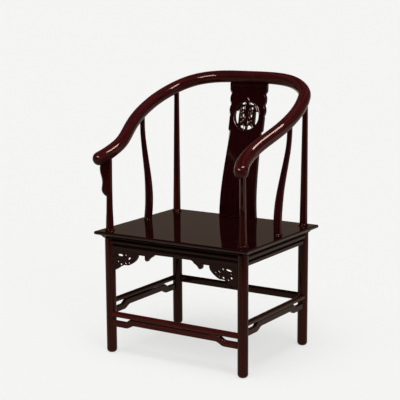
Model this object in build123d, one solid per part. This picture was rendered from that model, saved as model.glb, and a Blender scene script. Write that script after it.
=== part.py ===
"""Horseshoe-back armchair in lacquered hardwood, as separate joined pieces.

Millimetres. +Z is up, the chair faces -Y, and left and right are as seen from in front, so right is +X.
Pieces are drawn about the middle of the four legs at floor level, and moved to the centre of the whole
chair's footprint at the end. A piece that repeats on several sides is drawn on the front and turned. "Out"
is a distance outwards from the line through two leg centres.
"""

import os
from math import cos, radians, sin

from build123d import *

# ---------------------------------------------------------------- driving sizes
LEG_SPAN_X = 550.0  # leg centre to leg centre, across
LEG_SPAN_Y = 432.0  # leg centre to leg centre, front to back
LEG_D = 37.0  # leg below the seat
FOOT_ROUND = 13.0
NECK_D = 26.0  # where a leg passes up through the seat frame
COLLAR_D = 34.5  # turned ring on the seat at the foot of a corner post
COLLAR_H = 6.5
POST_D = 28.5  # corner post just above its collar
FRONT_POST_TOP_D = 22.0
REAR_POST_TOP_D = 18.5
POST_SWELL_H = 105.0  # the front posts are down to their upper size this far above the collar
FRONT_POST_IN = 2.5  # front posts' heads lean in towards each other
REAR_POST_BACK = 5.0  # rear posts' heads lean back

SEAT_H = 450.0  # floor to the top of the seat frame
FRAME_T = 26.0
FRAME_W = 75.0
OVERHANG = 40.5  # leg centre to the frame's outer edge
NOSE_TOP = 4.5  # rounded top of the frame's outer edge
NOSE_FLAT = 2.5  # upright face below it
NOSE_UNDER = 6.0  # rounded underside
EDGE_IN = 25.0  # the underside slopes on in as far as this
EDGE_STEP = 2.5  # upright step at its bottom
GROOVE_T = 6.0  # groove for the seat panel
GROOVE_DEEP = 8.0
GROOVE_UP = 12.0  # underside of the frame to the groove
FRAME_TENON_T = 9.0
FRAME_TENON_W = 11.5
FRAME_TENON_IN = 54.5  # frame's outer edge to the corner tenon, clear of the leg's neck
FRAME_TENON_STOP = 16.0  # wood left beyond the tenon's tip
PEG_D = 5.0
PEG_STOP = 6.0  # top of a peg's hole to the seat's surface
PANEL_PLAY = 0.3  # seasonal gap round the seat panel
BATTEN_W = 30.0
BATTEN_H = 24.0
BATTEN_AT = 80.0  # batten centre from the middle of the seat
BATTEN_TENON = 12.0
DOVETAIL_W = 16.0
DOVETAIL_H = 4.0

WAIST_BACK = 4.5  # the waist rail's face lies this far behind the legs' outermost line
WAIST_NECK = 5.5  # height and depth of the recess between the seat frame and the waist rail
WAIST_NECK_IN = 9.0
WAIST_H = 11.0
WAIST_T = 20.0
WAIST_SWELL = 1.0
APRON_BACK = 4.0  # the apron's face lies this far behind the waist rail's
APRON_NECK = 11.0  # height and depth of the recess between the waist rail and the apron
APRON_NECK_IN = 7.0
APRON_H = 11.5
APRON_T = 14.0
TONGUE_T = 5.5  # apron's tongue into the waist rail
TONGUE_L = 5.0
PENDANT_IN = 70.0  # cloud pendant's inner end, from the middle of the front
PENDANT_W = 78.0
PENDANT_DROP = 27.0
SPANDREL_H = 77.0
SPANDREL_T = 9.0

BAR_T = 18.0  # stretchers, front to back
BAR_ROUND = 5.0
BAR_OUT = 6.7  # stretcher centre
SIDE_BAR_TOP = 196.0  # floor to the top of the side and rear stretchers
SIDE_BAR_H = 18.5
REAR_BAR_H = 28.0
FRONT_BAR_TOP = 155.5
FRONT_BAR_H = 20.0
HUMP_T = 14.0  # hump-back rails under the stretchers
HUMP_OUT = 3.2
HUMP_H = 23.0
HUMP_DROP = 13.0  # slot between the lowered ends and the stretcher
HUMP_SLOT = 89.0  # leg centre to the slot's pointed end
HUMP_TAPER = 26.0  # length of the slot's point
HUMP_RISE_FRONT = 88.0  # leg centre to the middle of the lower edge's rise
HUMP_RISE_SIDE = 96.0
HUMP_RISE_L = 36.0

RISE = 520.5  # seat to the centre of the crest rail at the back
RAIL_BACK_T = 38.0  # crest rail's thickness and height at the back
RAIL_BACK_H = 45.0
ARM_D = 46.0
GRIP_D = 49.0
LAP = 46.0  # scarf joint
LAP_AHEAD = 52.0  # rear post centre to the arm's scarf shoulder
PIN = 6.0

SPLAT_T = 12.0
SPLAT_FOOT_W = 158.0
SPLAT_WAIST_W = 133.0
SPLAT_BAND_W = 146.0  # beside the medallion
SPLAT_HEAD_W = 157.5
SPLAT_TENON_W = 116.0
LOBE_H = 41.0  # scallops beside and above the medallion
LOBE_OUT = 5.5
LOBE_DIP = 2.0  # cusps between the scallops lie this far inside the band's width
SHOULDER_H = 10.0  # rounded step from the waist out to the band
HEAD_STEP_H = 18.0  # and from the last scallop out to the head
MEDALLION_UP = 376.5  # seat to the medallion's centre
MEDALLION_R = 52.0
BEAD_W = 6.0  # raised ring round the medallion
BEAD_H = 1.5

SIDE_POST_FOOT_D = 30.0
SIDE_POST_TOP_D = 18.8
SIDE_COLLAR_D = 33.0
SIDE_COLLAR_H = 3.5
POST_TENON_D = 12.0
POST_TENON_UP = 2.0  # tenon's tip above the crest rail's centre line
SEAT_TENON_L = 15.0  # splat and side posts into the seat frame

BRACKET_T = 12.0
BRACKET_OUT = 35.6  # widest reach from the post's axis
BRACKET_H = 120.0
BRACKET_LOW = 157.5  # arm's centre line to the bracket's lowest point
BRACKET_TURN = 28.0  # degrees outwards from straight ahead
BRACKET_TONGUE = 4.0

TENON_T = 6.0  # tenons into the legs
BAR_TENON_T = 8.0
FIT = 0.05  # clearance round tenons and coped shoulders

# ---------------------------------------------------------------- derived sizes
HX, HY = LEG_SPAN_X / 2, LEG_SPAN_Y / 2
LEG_R = LEG_D / 2
FRAME_Z = SEAT_H - FRAME_T
GROOVE_Z = FRAME_Z + GROOVE_UP
OPEN_X, OPEN_Y = HX + OVERHANG - FRAME_W, HY + OVERHANG - FRAME_W  # inside of the seat frame
WAIST_TOP = FRAME_Z - WAIST_NECK
WAIST_Z = WAIST_TOP - WAIST_H
APRON_TOP = WAIST_Z - APRON_NECK
APRON_Z = APRON_TOP - APRON_H
WAIST_OUT = LEG_R - WAIST_BACK
APRON_OUT = WAIST_OUT - APRON_BACK
COLLAR_TOP = SEAT_H + COLLAR_H

TONGUE_OUT = APRON_OUT - APRON_NECK_IN - TONGUE_T / 2  # middle of the tongues, and of tenons in their line
MEDALLION_Z = SEAT_H + MEDALLION_UP

# Quarter turns that carry a piece from the front to its side, with the half span between its two legs and
# their distance from the middle of the chair.
SIDES = {"front": (0, HX, HY), "right": (1, HY, HX), "rear": (2, HX, HY), "left": (3, HY, HX)}
# Top and height of each side's stretcher, and the rise of the hump-back rail under it.
BARS = {
    "front": (FRONT_BAR_TOP, FRONT_BAR_H),
    "right": (SIDE_BAR_TOP, SIDE_BAR_H),
    "rear": (SIDE_BAR_TOP, REAR_BAR_H),
    "left": (SIDE_BAR_TOP, SIDE_BAR_H),
}
HUMPS = {"front": HUMP_RISE_FRONT, "right": HUMP_RISE_SIDE, "left": HUMP_RISE_SIDE}

# Crest rail's centre line, right half from the middle of the back to the grip: across as a share of HX,
# front to back as a share of HY, and height above the seat as a share of RISE.
RAIL_SHAPE = [
    (0.0, 1.403, 1.0),
    (0.2, 1.4, 1.0),
    (0.389, 1.384, 0.998),
    (0.575, 1.343, 0.991),
    (0.745, 1.259, 0.976),
    (0.888, 1.139, 0.951),
    (0.998, 0.991, 0.918),
    (1.066, 0.787, 0.881),
    (1.109, 0.568, 0.841),
    (1.127, 0.346, 0.799),
    (1.122, 0.123, 0.757),
    (1.095, -0.097, 0.715),
    (1.049, -0.313, 0.673),
    (0.998, -0.524, 0.629),
    (0.971, -0.718, 0.588),
    (0.98, -0.903, 0.553),
    (1.011, -1.06, 0.523),
    (1.049, -1.16, 0.502),
]
# Side post's centre line: across as a share of HX, front to back as a share of HY, height as a share of
# the post, and how far its diameter has gone from the foot's to the head's.
SIDE_POST_SHAPE = [
    (1.004, 0.103, 0.0, 0.0),
    (0.993, 0.119, 0.13, 0.0),
    (0.999, 0.134, 0.26, 0.07),
    (1.02, 0.148, 0.39, 0.36),
    (1.053, 0.161, 0.525, 0.62),
    (1.088, 0.174, 0.66, 0.84),
    (1.115, 0.185, 0.79, 1.0),
    (1.124, 0.196, 1.0, 1.0),
]
# Splat's front face from the side: front to back as a share of HY, height as a share of RISE.
SPLAT_CURVE = [
    (0.969, 0.0),
    (0.968, 0.104),
    (0.993, 0.2),
    (1.036, 0.296),
    (1.09, 0.391),
    (1.149, 0.487),
    (1.208, 0.582),
    (1.263, 0.678),
    (1.307, 0.773),
    (1.338, 0.868),
    (1.356, 0.96),
]
# Bracket's free edge: out from the post's axis as a share of its reach, up as a share of its height.
BRACKET_SHAPE = [(0.26, 0), (0.46, 0.045), (0.82, 0.2), (0.77, 0.39), (0.8, 0.575), (0.95, 0.75), (1, 0.92)]
# Piercings of the spandrel: across from its inner end and down from the apron, as shares of its own size,
# then each one's length, width and tilt.
SPANDREL_HOLES = [
    (0.6, 0.24, 26.0, 8.5, -6.0),
    (0.42, 0.215, 10.0, 7.0, 0.0),
    (0.3, 0.35, 17.0, 7.0, -32.0),
    (0.19, 0.415, 9.0, 6.0, 60.0),
    (0.31, 0.56, 10.0, 6.5, -35.0),
    (0.43, 0.6, 12.0, 7.5, 10.0),
    (0.585, 0.675, 12.0, 7.0, -25.0),
    (0.68, 0.57, 11.0, 8.5, 30.0),
    (0.67, 0.41, 10.0, 6.5, 90.0),
]


# ---------------------------------------------------------------- helpers
def block(x0, x1, y0, y1, z0, z1):
    """Box between two corners."""
    return Pos((x0 + x1) / 2, (y0 + y1) / 2, (z0 + z1) / 2) * Box(abs(x1 - x0), abs(y1 - y0), abs(z1 - z0))


def rod(x, y, z0, z1, d):
    """Upright cylinder."""
    return Pos(x, y, (z0 + z1) / 2) * Cylinder(d / 2, z1 - z0)


def mirrored(shape):
    """The same piece on the other side of the chair, left for right."""
    return mirror(shape, about=Plane.YZ)


def both(shape):
    """A feature and its mirror image, left and right."""
    return shape + mirrored(shape)


def turned(shape, side):
    """A piece drawn on the front, carried round to its own side."""
    return Rot(0, 0, 90 * SIDES[side][0]) * shape


def bar(outline, half_length):
    """Bar along X from its closed section, drawn as (Y, Z)."""
    return extrude(Plane.YZ * make_face(outline), amount=half_length, both=True)


def board(outline, y0, y1):
    """Board across the chair from its closed outline, drawn as (X, Z), from y0 forwards to y1."""
    return extrude(Plane.XZ.offset(-y0) * make_face(outline), amount=y0 - y1)


def between_legs(body, span, off):
    """Ends of a front-drawn member coped to its two legs."""
    inside = block(-span, span, -off - 2 * LEG_D, -off + 2 * LEG_D, 0, SEAT_H)
    return (body & inside) - both(rod(span, -off, 0, FRAME_Z, LEG_D + 2 * FIT))


def tenons(kind, side, grow=0.0):
    """Both end tenons of one of a side's members, drawn on the front; grown, they are its mortises."""
    _, span, off = SIDES[side]
    top, height = BARS[side]
    lowered = top - height - HUMP_DROP
    out, thick, z0, z1 = {
        "waist_rail": (TONGUE_OUT, TENON_T, WAIST_Z + TONGUE_L + 1, WAIST_TOP - 1),
        "apron": (TONGUE_OUT, TENON_T, APRON_Z + 1.5, APRON_TOP - 1.5),
        "stretcher": (BAR_OUT, BAR_TENON_T, top - 0.75 * height, top - 0.25 * height),
        "hump_rail": (HUMP_OUT, BAR_TENON_T, lowered - 0.75 * HUMP_H, lowered - 0.25 * HUMP_H),
    }[kind]
    near, far = -off - out + thick / 2 + grow, -off - out - thick / 2 - grow
    return both(block(span - 1.1 * LEG_R, span - 0.4 * LEG_R + grow, near, far, z0 - grow, z1 + grow))


# ---------------------------------------------------------------- crest rail
right_half = [(HX * x, HY * y, SEAT_H + RISE * z) for x, y, z in RAIL_SHAPE]
left_half = [(-x, y, z) for x, y, z in reversed(right_half[1:])]
RAIL_LINE = Spline(*left_half, *right_half)
UP = Vector(0, 0, 1)


def rail_frame(t):
    """Frame on the centre line: X across the rail, Y upwards, Z along it towards the right-hand grip."""
    along = RAIL_LINE % t
    return Plane(RAIL_LINE @ t, x_dir=UP.cross(along), z_dir=along)


def arm_t(y):
    """Where along the centre line the right arm passes a given Y."""
    back, grip = 0.5, 1.0
    for _ in range(40):
        t = (back + grip) / 2
        back, grip = (t, grip) if (RAIL_LINE @ t).Y > y else (back, t)
    return back


def rail_section(t, grow):
    """Oval section: slim across the back, round along the arms, a little fuller at the grips."""
    arm = min(1.0, abs(2 * t - 1) / 0.5)
    arm = arm * arm * (3 - 2 * arm)
    grip = max(0.0, (abs(2 * t - 1) - 0.8) / 0.2)
    width = RAIL_BACK_T + (ARM_D - RAIL_BACK_T) * arm + (GRIP_D - ARM_D) * grip
    height = RAIL_BACK_H + (ARM_D - RAIL_BACK_H) * arm + (GRIP_D - ARM_D) * grip
    return rail_frame(t) * Ellipse(width / 2 + grow, height / 2 + grow)


def horseshoe(grow=0.0):
    """The whole rail before it is divided into lengths, with domed grips."""
    body = loft([rail_section(i / 24, grow) for i in range(25)])
    dome = rail_frame(1.0) * (Sphere(GRIP_D / 2 + grow) & block(-ARM_D, ARM_D, -ARM_D, ARM_D, 0, ARM_D))
    return body + both(dome)


def lap(frame):
    """Tools for a scarf joint running along from a frame: upper half, lower half, pin and the pin's slot."""
    far, half = 2 * ARM_D, PIN / 2
    upper = frame * block(-far, far, 0, far, 0, LAP)
    lower = frame * block(-far, far, -far, 0, 0, LAP)
    pin = frame * block(-far, far, -half, half, LAP / 2 - half, LAP / 2 + half)
    half += FIT
    slot = frame * block(-far, far, -half, half, LAP / 2 - half, LAP / 2 + half)
    return upper, lower, pin, slot


RAIL = horseshoe()
RAIL_CLEAR = horseshoe(FIT)

# ---------------------------------------------------------------- posts
REAR_HEAD = Vector(HX, HY + REAR_POST_BACK, (RAIL_LINE @ arm_t(HY + REAR_POST_BACK)).Z)
FRONT_HEAD = Vector(HX - FRONT_POST_IN, -HY, (RAIL_LINE @ arm_t(-HY)).Z)
SIDE_HEAD_Z = (RAIL_LINE @ arm_t(SIDE_POST_SHAPE[-1][1] * HY)).Z
SIDE_AXIS = [
    Vector(HX * x, HY * y, SEAT_H + (SIDE_HEAD_Z - SEAT_H) * up) for x, y, up, _ in SIDE_POST_SHAPE
]
SIDE_D = [SIDE_POST_FOOT_D - (SIDE_POST_FOOT_D - SIDE_POST_TOP_D) * k for *_, k in SIDE_POST_SHAPE]


def shaft(axis, diameters, grow=0.0):
    """Tapering round shaft through a list of centre points, its sections level."""
    return loft([Pos(p) * Circle(d / 2 + grow) for p, d in zip(axis, diameters)])


def head_tenon(head, grow=0.0):
    """Round tenon at the head of a post, up into the crest rail."""
    return rod(head.X, head.Y, head.Z - ARM_D, head.Z + POST_TENON_UP + grow, POST_TENON_D + 2 * grow)


def bead(x, y, z, d, h):
    """Rounded ring turned on the foot of a post."""
    ring = rod(x, y, z, z + h, d)
    return fillet(ring.edges().filter_by(GeomType.CIRCLE), 0.44 * h)


def front_shaft(grow=0.0):
    """Right front post from its collar to the middle of the arm: quick swell at the foot, then slender."""
    foot = Vector(HX, -HY, COLLAR_TOP)
    rise = FRONT_HEAD.Z - foot.Z
    levels = [0.0, 0.43 * POST_SWELL_H / rise, POST_SWELL_H / rise, 0.65, 1.0]
    thin = [0.0, 0.385, 0.8, 0.94, 1.0]
    axis = [foot + (FRONT_HEAD - foot) * k for k in levels]
    return shaft(axis, [POST_D - (POST_D - FRONT_POST_TOP_D) * k for k in thin], grow)


def leg(end):
    """Right-hand leg of the front or rear pair, one timber from the floor to the rail."""
    y = -HY if end == "front" else HY
    head = FRONT_HEAD if end == "front" else REAR_HEAD
    lower = rod(HX, y, 0, FRAME_Z, LEG_D)
    body = fillet(lower.edges().group_by(Axis.Z)[0], FOOT_ROUND) + rod(HX, y, FRAME_Z, COLLAR_TOP, NECK_D)
    body += bead(HX, y, SEAT_H, COLLAR_D, COLLAR_H)
    if end == "front":
        upper = front_shaft()
    else:
        upper = shaft([Vector(HX, y, COLLAR_TOP), head], [POST_D, REAR_POST_TOP_D])
    body += (upper - RAIL_CLEAR) + head_tenon(head)
    for side in (end, "right"):
        for kind in ("waist_rail", "apron", "stretcher", "hump_rail"):
            if kind != "hump_rail" or side in HUMPS:
                body -= turned(tenons(kind, side, FIT), side)
    return body


def side_post():
    """S-curved post from the right seat rail to the arm."""
    foot = SIDE_AXIS[0]
    body = shaft(SIDE_AXIS, SIDE_D) - RAIL_CLEAR
    body += bead(foot.X, foot.Y, SEAT_H, SIDE_COLLAR_D, SIDE_COLLAR_H)
    return body + head_tenon(SIDE_AXIS[-1]) + side_foot_tenon()


def side_foot_tenon(grow=0.0):
    """Side post's round tenon down into the seat rail."""
    foot = SIDE_AXIS[0]
    return rod(foot.X, foot.Y, SEAT_H - SEAT_TENON_L - grow, SEAT_H + SIDE_COLLAR_H, POST_TENON_D + 2 * grow)


# ---------------------------------------------------------------- splat
def splat_ribbon(y0, y1, half_width):
    """S-curved board between two distances behind the splat's front face."""
    front = Spline(*[(HY * y + y0, SEAT_H + RISE * z) for y, z in SPLAT_CURVE])
    back = Spline(*[(HY * y + y1, SEAT_H + RISE * z) for y, z in SPLAT_CURVE])
    return bar(front + Line(front @ 1, back @ 1) + back + Line(back @ 0, front @ 0), half_width)


def splat_outline():
    """Outline from in front: tapering foot, then lobed edges beside and above the medallion."""
    foot, waist, band, head = SPLAT_FOOT_W / 2, SPLAT_WAIST_W / 2, SPLAT_BAND_W / 2, SPLAT_HEAD_W / 2
    mid, dip = MEDALLION_Z, band - LOBE_DIP
    shoulder = mid - MEDALLION_R - BEAD_W
    cusps = [mid + k * LOBE_H for k in (0, 1, 2)]
    top = SEAT_H + RISE
    half = Line((foot, SEAT_H), (waist, shoulder - LOBE_H))
    half += Line((waist, shoulder - LOBE_H), (waist, shoulder))
    out, up = 0.66 * (band - waist), 0.29 * SHOULDER_H
    half += ThreePointArc((waist, shoulder), (waist + out, shoulder + up), (band, shoulder + SHOULDER_H))
    half += Polyline((band, shoulder + SHOULDER_H), (band, cusps[0] - 2 * LOBE_DIP), (dip, cusps[0]))
    for low, high in zip(cusps, cusps[1:]):
        half += ThreePointArc((dip, low), (dip + LOBE_OUT, (low + high) / 2), (dip, high))
    out, up = 0.72 * (head - dip), 0.39 * HEAD_STEP_H
    half += ThreePointArc((dip, cusps[-1]), (dip + out, cusps[-1] + up), (head, cusps[-1] + HEAD_STEP_H))
    half += Line((head, cusps[-1] + HEAD_STEP_H), (head, top))
    return half + mirrored(half) + Line((-foot, SEAT_H), (foot, SEAT_H)) + Line((-head, top), (head, top))


def medallion_cuts():
    """Through-cuts of the medallion, drawn about its centre: paired leaves, rings and eyes."""
    r = MEDALLION_R
    disc = Circle(r)
    wing = disc & Pos(r, -0.12 * r) * Rectangle(2 * 0.35 * r, 0.9 * r)
    brow = (disc - Circle(0.85 * r)) & make_face(
        Polyline(*[(2 * r * cos(radians(a)), 2 * r * sin(radians(a))) for a in (58, 83)], (0, 0), close=True)
    )
    eye = Pos(0.37 * r, 0.54 * r) * Ellipse(0.115 * r, 0.095 * r)
    slot = Pos(0.33 * r, 0) * Ellipse(0.1 * r, 0.13 * r)
    leaf = Circle(0.96 * r) & Pos(0.27 * r, -0.94 * r) * Circle(0.28 * r)
    leaf = leaf & Pos(r, -r) * Rectangle(1.92 * r, r)
    right = wing + brow + eye + slot + leaf
    return Pos(0, MEDALLION_Z) * (right + mirror(right, about=Plane.YZ))


def splat_tenons(grow=0.0):
    """Broad tenons at the splat's foot and head."""
    foot_y, head_y = HY * SPLAT_CURVE[0][0] + SPLAT_T / 2, HY * SPLAT_CURVE[-1][0] + SPLAT_T / 2
    thick, wide = SPLAT_T / 3 + grow, SPLAT_TENON_W / 2 + grow
    top = SEAT_H + RISE - RAIL_BACK_H / 6
    foot = block(-wide, wide, foot_y - thick, foot_y + thick, SEAT_H - SEAT_TENON_L - grow, SEAT_H + 2)
    return foot + block(-wide, wide, head_y - thick, head_y + thick, top - RAIL_BACK_H / 2, top + grow)


def splat():
    """S-curved splat with lobed edges and a pierced medallion inside a raised ring."""
    body = splat_ribbon(0, SPLAT_T, SPLAT_FOOT_W) & board(splat_outline(), 2 * HY, 0)
    ring = Circle(MEDALLION_R + BEAD_W) - Circle(MEDALLION_R)
    body += splat_ribbon(-BEAD_H, SPLAT_T / 2, SPLAT_FOOT_W) & through(Pos(0, MEDALLION_Z) * ring)
    return (body - through(medallion_cuts()) - RAIL_CLEAR) + splat_tenons()


def through(face):
    """Bar right through the back of the chair from a face drawn as (X, Z)."""
    return extrude(Plane.XZ * face, amount=-2 * HY)


# ---------------------------------------------------------------- arm brackets
def bracket_frame():
    """Upright plane through the right front post's axis, X pointing out under the grip."""
    x, y = sin(radians(BRACKET_TURN)), -cos(radians(BRACKET_TURN))
    return Plane((FRONT_HEAD.X, FRONT_HEAD.Y, 0), x_dir=(x, y, 0), z_dir=(y, -x, 0))


def bracket_tongue(grow=0.0):
    """Tongue on the bracket's back edge, housed in the post."""
    top = FRONT_HEAD.Z - ARM_D
    low, r = top - 0.7 * BRACKET_H, FRONT_POST_TOP_D / 2
    thick = BRACKET_T / 6 + grow
    return bracket_frame() * block(r - BRACKET_TONGUE - grow, r + 3, low - grow, top + grow, -thick, thick)


def arm_bracket():
    """Scrolled board between the right front post and the underside of its grip."""
    w, h, low = BRACKET_OUT, BRACKET_H, FRONT_HEAD.Z - BRACKET_LOW
    edge = Spline(*[(w * x, low + h * z) for x, z in BRACKET_SHAPE])
    top = FRONT_HEAD.Z
    outline = edge + Polyline(edge @ 1, (0.8 * w, low + h), (0.8 * w, top - 6), (0, top), (0, low), edge @ 0)
    body = extrude(bracket_frame() * make_face(outline), amount=BRACKET_T / 2, both=True)
    return body - front_shaft(FIT) - RAIL_CLEAR + bracket_tongue()


# ---------------------------------------------------------------- crest rail in four lengths
def crest_rail():
    """Two back lengths and two arms, halved over each other and pinned."""
    centre, right = lap(rail_frame(0.5)), lap(rail_frame(arm_t(HY + REAR_POST_BACK - LAP_AHEAD)))
    left = [mirrored(tool) for tool in right]
    body = RAIL - [head_tenon(head, FIT) for head in (REAR_HEAD, FRONT_HEAD, SIDE_AXIS[-1])]
    body -= [mirrored(head_tenon(head, FIT)) for head in (REAR_HEAD, FRONT_HEAD, SIDE_AXIS[-1])]
    body = body - splat_tenons(FIT) - [joint[3] for joint in (centre, left, right)]
    plain = body - [tool for joint in (centre, left, right) for tool in joint[:2]]
    arm_left, back_left, back_right, arm_right = plain.solids().sort_by(Axis.X)
    return {
        "crest_back_left": back_left + (body & centre[0]) + (body & left[0]),
        "crest_back_right": back_right + (body & centre[1]) + (body & right[0]),
        "arm_left": arm_left + (body & left[1]),
        "arm_right": arm_right + (body & right[1]),
        "crest_pin_centre": RAIL & centre[2],
        "crest_pin_left": RAIL & left[2],
        "crest_pin_right": RAIL & right[2],
    }


# ---------------------------------------------------------------- seat
def frame_tenons(side, grow=0.0):
    """Corner tenons at both ends of the front or rear seat rail, drawn on the front."""
    _, span, off = SIDES[side]
    y = -off - OVERHANG + FRAME_TENON_IN
    root = span + OVERHANG - FRAME_TENON_IN - FRAME_TENON_W
    tip = span + OVERHANG - FRAME_TENON_STOP
    z = FRAME_Z + FRAME_T / 2
    half = FRAME_TENON_T / 2 + grow
    return both(block(root, tip + grow, y - grow, y + FRAME_TENON_W + grow, z - half, z + half))


def pegs(grow=0.0):
    """Pegs driven up through the corner tenons from below."""
    x = HX + OVERHANG - FRAME_TENON_STOP - FRAME_TENON_W
    y = HY + OVERHANG - FRAME_TENON_IN - FRAME_TENON_W / 2
    right = rod(x, y, FRAME_Z, SEAT_H - PEG_STOP + grow, PEG_D + 2 * grow)
    right += rod(x, -y, FRAME_Z, SEAT_H - PEG_STOP + grow, PEG_D + 2 * grow)
    return both(right)


def batten_tenons(grow=0.0):
    """Tenons at both ends of the right-hand batten."""
    end, wide = OPEN_Y + BATTEN_TENON + grow, BATTEN_W / 4 + grow
    z0, z1 = FRAME_Z + 2 - grow, GROOVE_Z - 3 + grow
    return block(BATTEN_AT - wide, BATTEN_AT + wide, -end, end, z0, z1)


def dovetail(half_length, grow=0.0):
    """Dovetailed rib on top of the right-hand batten."""
    top, neck = DOVETAIL_W / 2 + grow, DOVETAIL_W / 2 - DOVETAIL_H / 2 + grow
    z = GROOVE_Z
    section = Polyline((-neck, z), (neck, z), (top, z + DOVETAIL_H), (-top, z + DOVETAIL_H), close=True)
    return Pos(BATTEN_AT, 0, 0) * extrude(Plane.XZ * make_face(section), amount=half_length, both=True)


def batten():
    """Right-hand batten: stiffens the panel and ties the front and rear rails."""
    half, z = BATTEN_W / 2, GROOVE_Z
    body = block(BATTEN_AT - half, BATTEN_AT + half, -OPEN_Y, OPEN_Y, z - BATTEN_H, z)
    return body + batten_tenons() + dovetail(OPEN_Y - PANEL_PLAY)


def seat_panel():
    """Flush panel held by a tongue in the frame's groove, dovetailed over its battens."""
    x, y = OPEN_X - PANEL_PLAY, OPEN_Y - PANEL_PLAY
    body = chamfer(block(-x, x, -y, y, GROOVE_Z, SEAT_H).edges().group_by(Axis.Z)[-1], 0.5)
    x, y = x + GROOVE_DEEP - 2 * PANEL_PLAY, y + GROOVE_DEEP - 2 * PANEL_PLAY
    body += block(-x, x, -y, y, GROOVE_Z, GROOVE_Z + GROOVE_T - FIT)
    return body - both(dovetail(HY, FIT))


def seat_rail(side):
    """Frame member with a moulded outer edge, a groove for the panel and mitred ends."""
    _, span, off = SIDES[side]
    edge, inner = -off - OVERHANG, -off - OVERHANG + FRAME_W
    high, low = SEAT_H - NOSE_TOP, SEAT_H - NOSE_TOP - NOSE_FLAT
    outline = RadiusArc((edge + NOSE_TOP, SEAT_H), (edge, high), -NOSE_TOP) + Line((edge, high), (edge, low))
    outline += RadiusArc((edge, low), (edge + NOSE_UNDER, low - NOSE_UNDER), -NOSE_UNDER)
    outline += Polyline(
        (edge + NOSE_UNDER, low - NOSE_UNDER),
        (edge + EDGE_IN, FRAME_Z + EDGE_STEP),
        (edge + EDGE_IN, FRAME_Z),
        (inner, FRAME_Z),
        (inner, GROOVE_Z),
        (inner - GROOVE_DEEP, GROOVE_Z),
        (inner - GROOVE_DEEP, GROOVE_Z + GROOVE_T),
        (inner, GROOVE_Z + GROOVE_T),
        (inner, SEAT_H),
        (edge + NOSE_TOP, SEAT_H),
    )
    out, mitre = span + OVERHANG, span + OVERHANG - FRAME_W
    plan = make_face(Polyline((-out, edge), (out, edge), (mitre, inner), (-mitre, inner), close=True))
    body = bar(outline, out) & extrude(plan, amount=SEAT_H)
    if side in ("front", "rear"):
        body += frame_tenons(side)
    body = turned(body, side) - both(rod(HX, HY, FRAME_Z, SEAT_H, NECK_D + 2 * FIT))
    body -= both(rod(HX, -HY, FRAME_Z, SEAT_H, NECK_D + 2 * FIT))
    if side in ("left", "right"):
        body -= frame_tenons("front", FIT) + turned(frame_tenons("rear", FIT), "rear")
        body -= both(side_foot_tenon(FIT))
    else:
        body -= both(batten_tenons(FIT))
        body -= splat_tenons(FIT)
    return body - pegs(FIT)


# ---------------------------------------------------------------- under the seat
def waist_rail(side):
    """Slightly swelled band under the seat frame, behind a recess, grooved below for the apron."""
    _, span, off = SIDES[side]
    face = -off - WAIST_OUT
    neck, back = face + WAIST_NECK_IN, face + WAIST_T
    groove0, groove1 = (-off - TONGUE_OUT + half for half in (-TONGUE_T / 2 - FIT, TONGUE_T / 2 + FIT))
    swell = (face - WAIST_SWELL, WAIST_Z + WAIST_H / 2)
    outline = ThreePointArc((face, WAIST_Z), swell, (face, WAIST_TOP)) + Polyline(
        (face, WAIST_TOP),
        (neck, WAIST_TOP),
        (neck, FRAME_Z),
        (back, FRAME_Z),
        (back, WAIST_Z),
        (groove1, WAIST_Z),
        (groove1, WAIST_Z + TONGUE_L),
        (groove0, WAIST_Z + TONGUE_L),
        (groove0, WAIST_Z),
        (face, WAIST_Z),
    )
    return turned(between_legs(bar(outline, span), span, off) + tenons("waist_rail", side), side)


def pendant():
    """Cloud pendant hanging from the right half of the front apron, as an outline drawn in (X, Z)."""

    def at(across, down):
        return (PENDANT_IN + across * PENDANT_W, APRON_Z - down * PENDANT_DROP)

    outline = ThreePointArc(at(0, 0), at(0.11, 0.1), at(0.19, 0.33))
    outline += ThreePointArc(at(0.19, 0.33), at(0.35, 0.6), at(0.46, 1.0))
    outline += Line(at(0.46, 1.0), at(0.57, 1.0))
    outline += ThreePointArc(at(0.57, 1.0), at(0.605, 0.86), at(0.615, 0.45))
    outline += ThreePointArc(at(0.615, 0.45), at(0.63, 0.38), at(0.66, 0.36))
    return outline + Polyline(at(0.66, 0.36), at(1, 0.36), at(1, -0.1), at(0, -0.1), at(0, 0))


def apron(side):
    """Apron with a tongue up into the waist rail; the front one has two cloud pendants."""
    _, span, off = SIDES[side]
    face = -off - APRON_OUT
    neck, back = face + APRON_NECK_IN, face + APRON_T
    outline = Polyline(
        (face, APRON_Z),
        (face, APRON_TOP),
        (neck, APRON_TOP),
        (neck, WAIST_Z + TONGUE_L),
        (neck + TONGUE_T, WAIST_Z + TONGUE_L),
        (neck + TONGUE_T, APRON_TOP),
        (back, APRON_TOP),
        (back, APRON_Z),
        close=True,
    )
    body = bar(outline, span)
    if side == "front":
        body += both(board(pendant(), back, face))
    return turned(between_legs(body, span, off) + tenons("apron", side), side)


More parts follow.
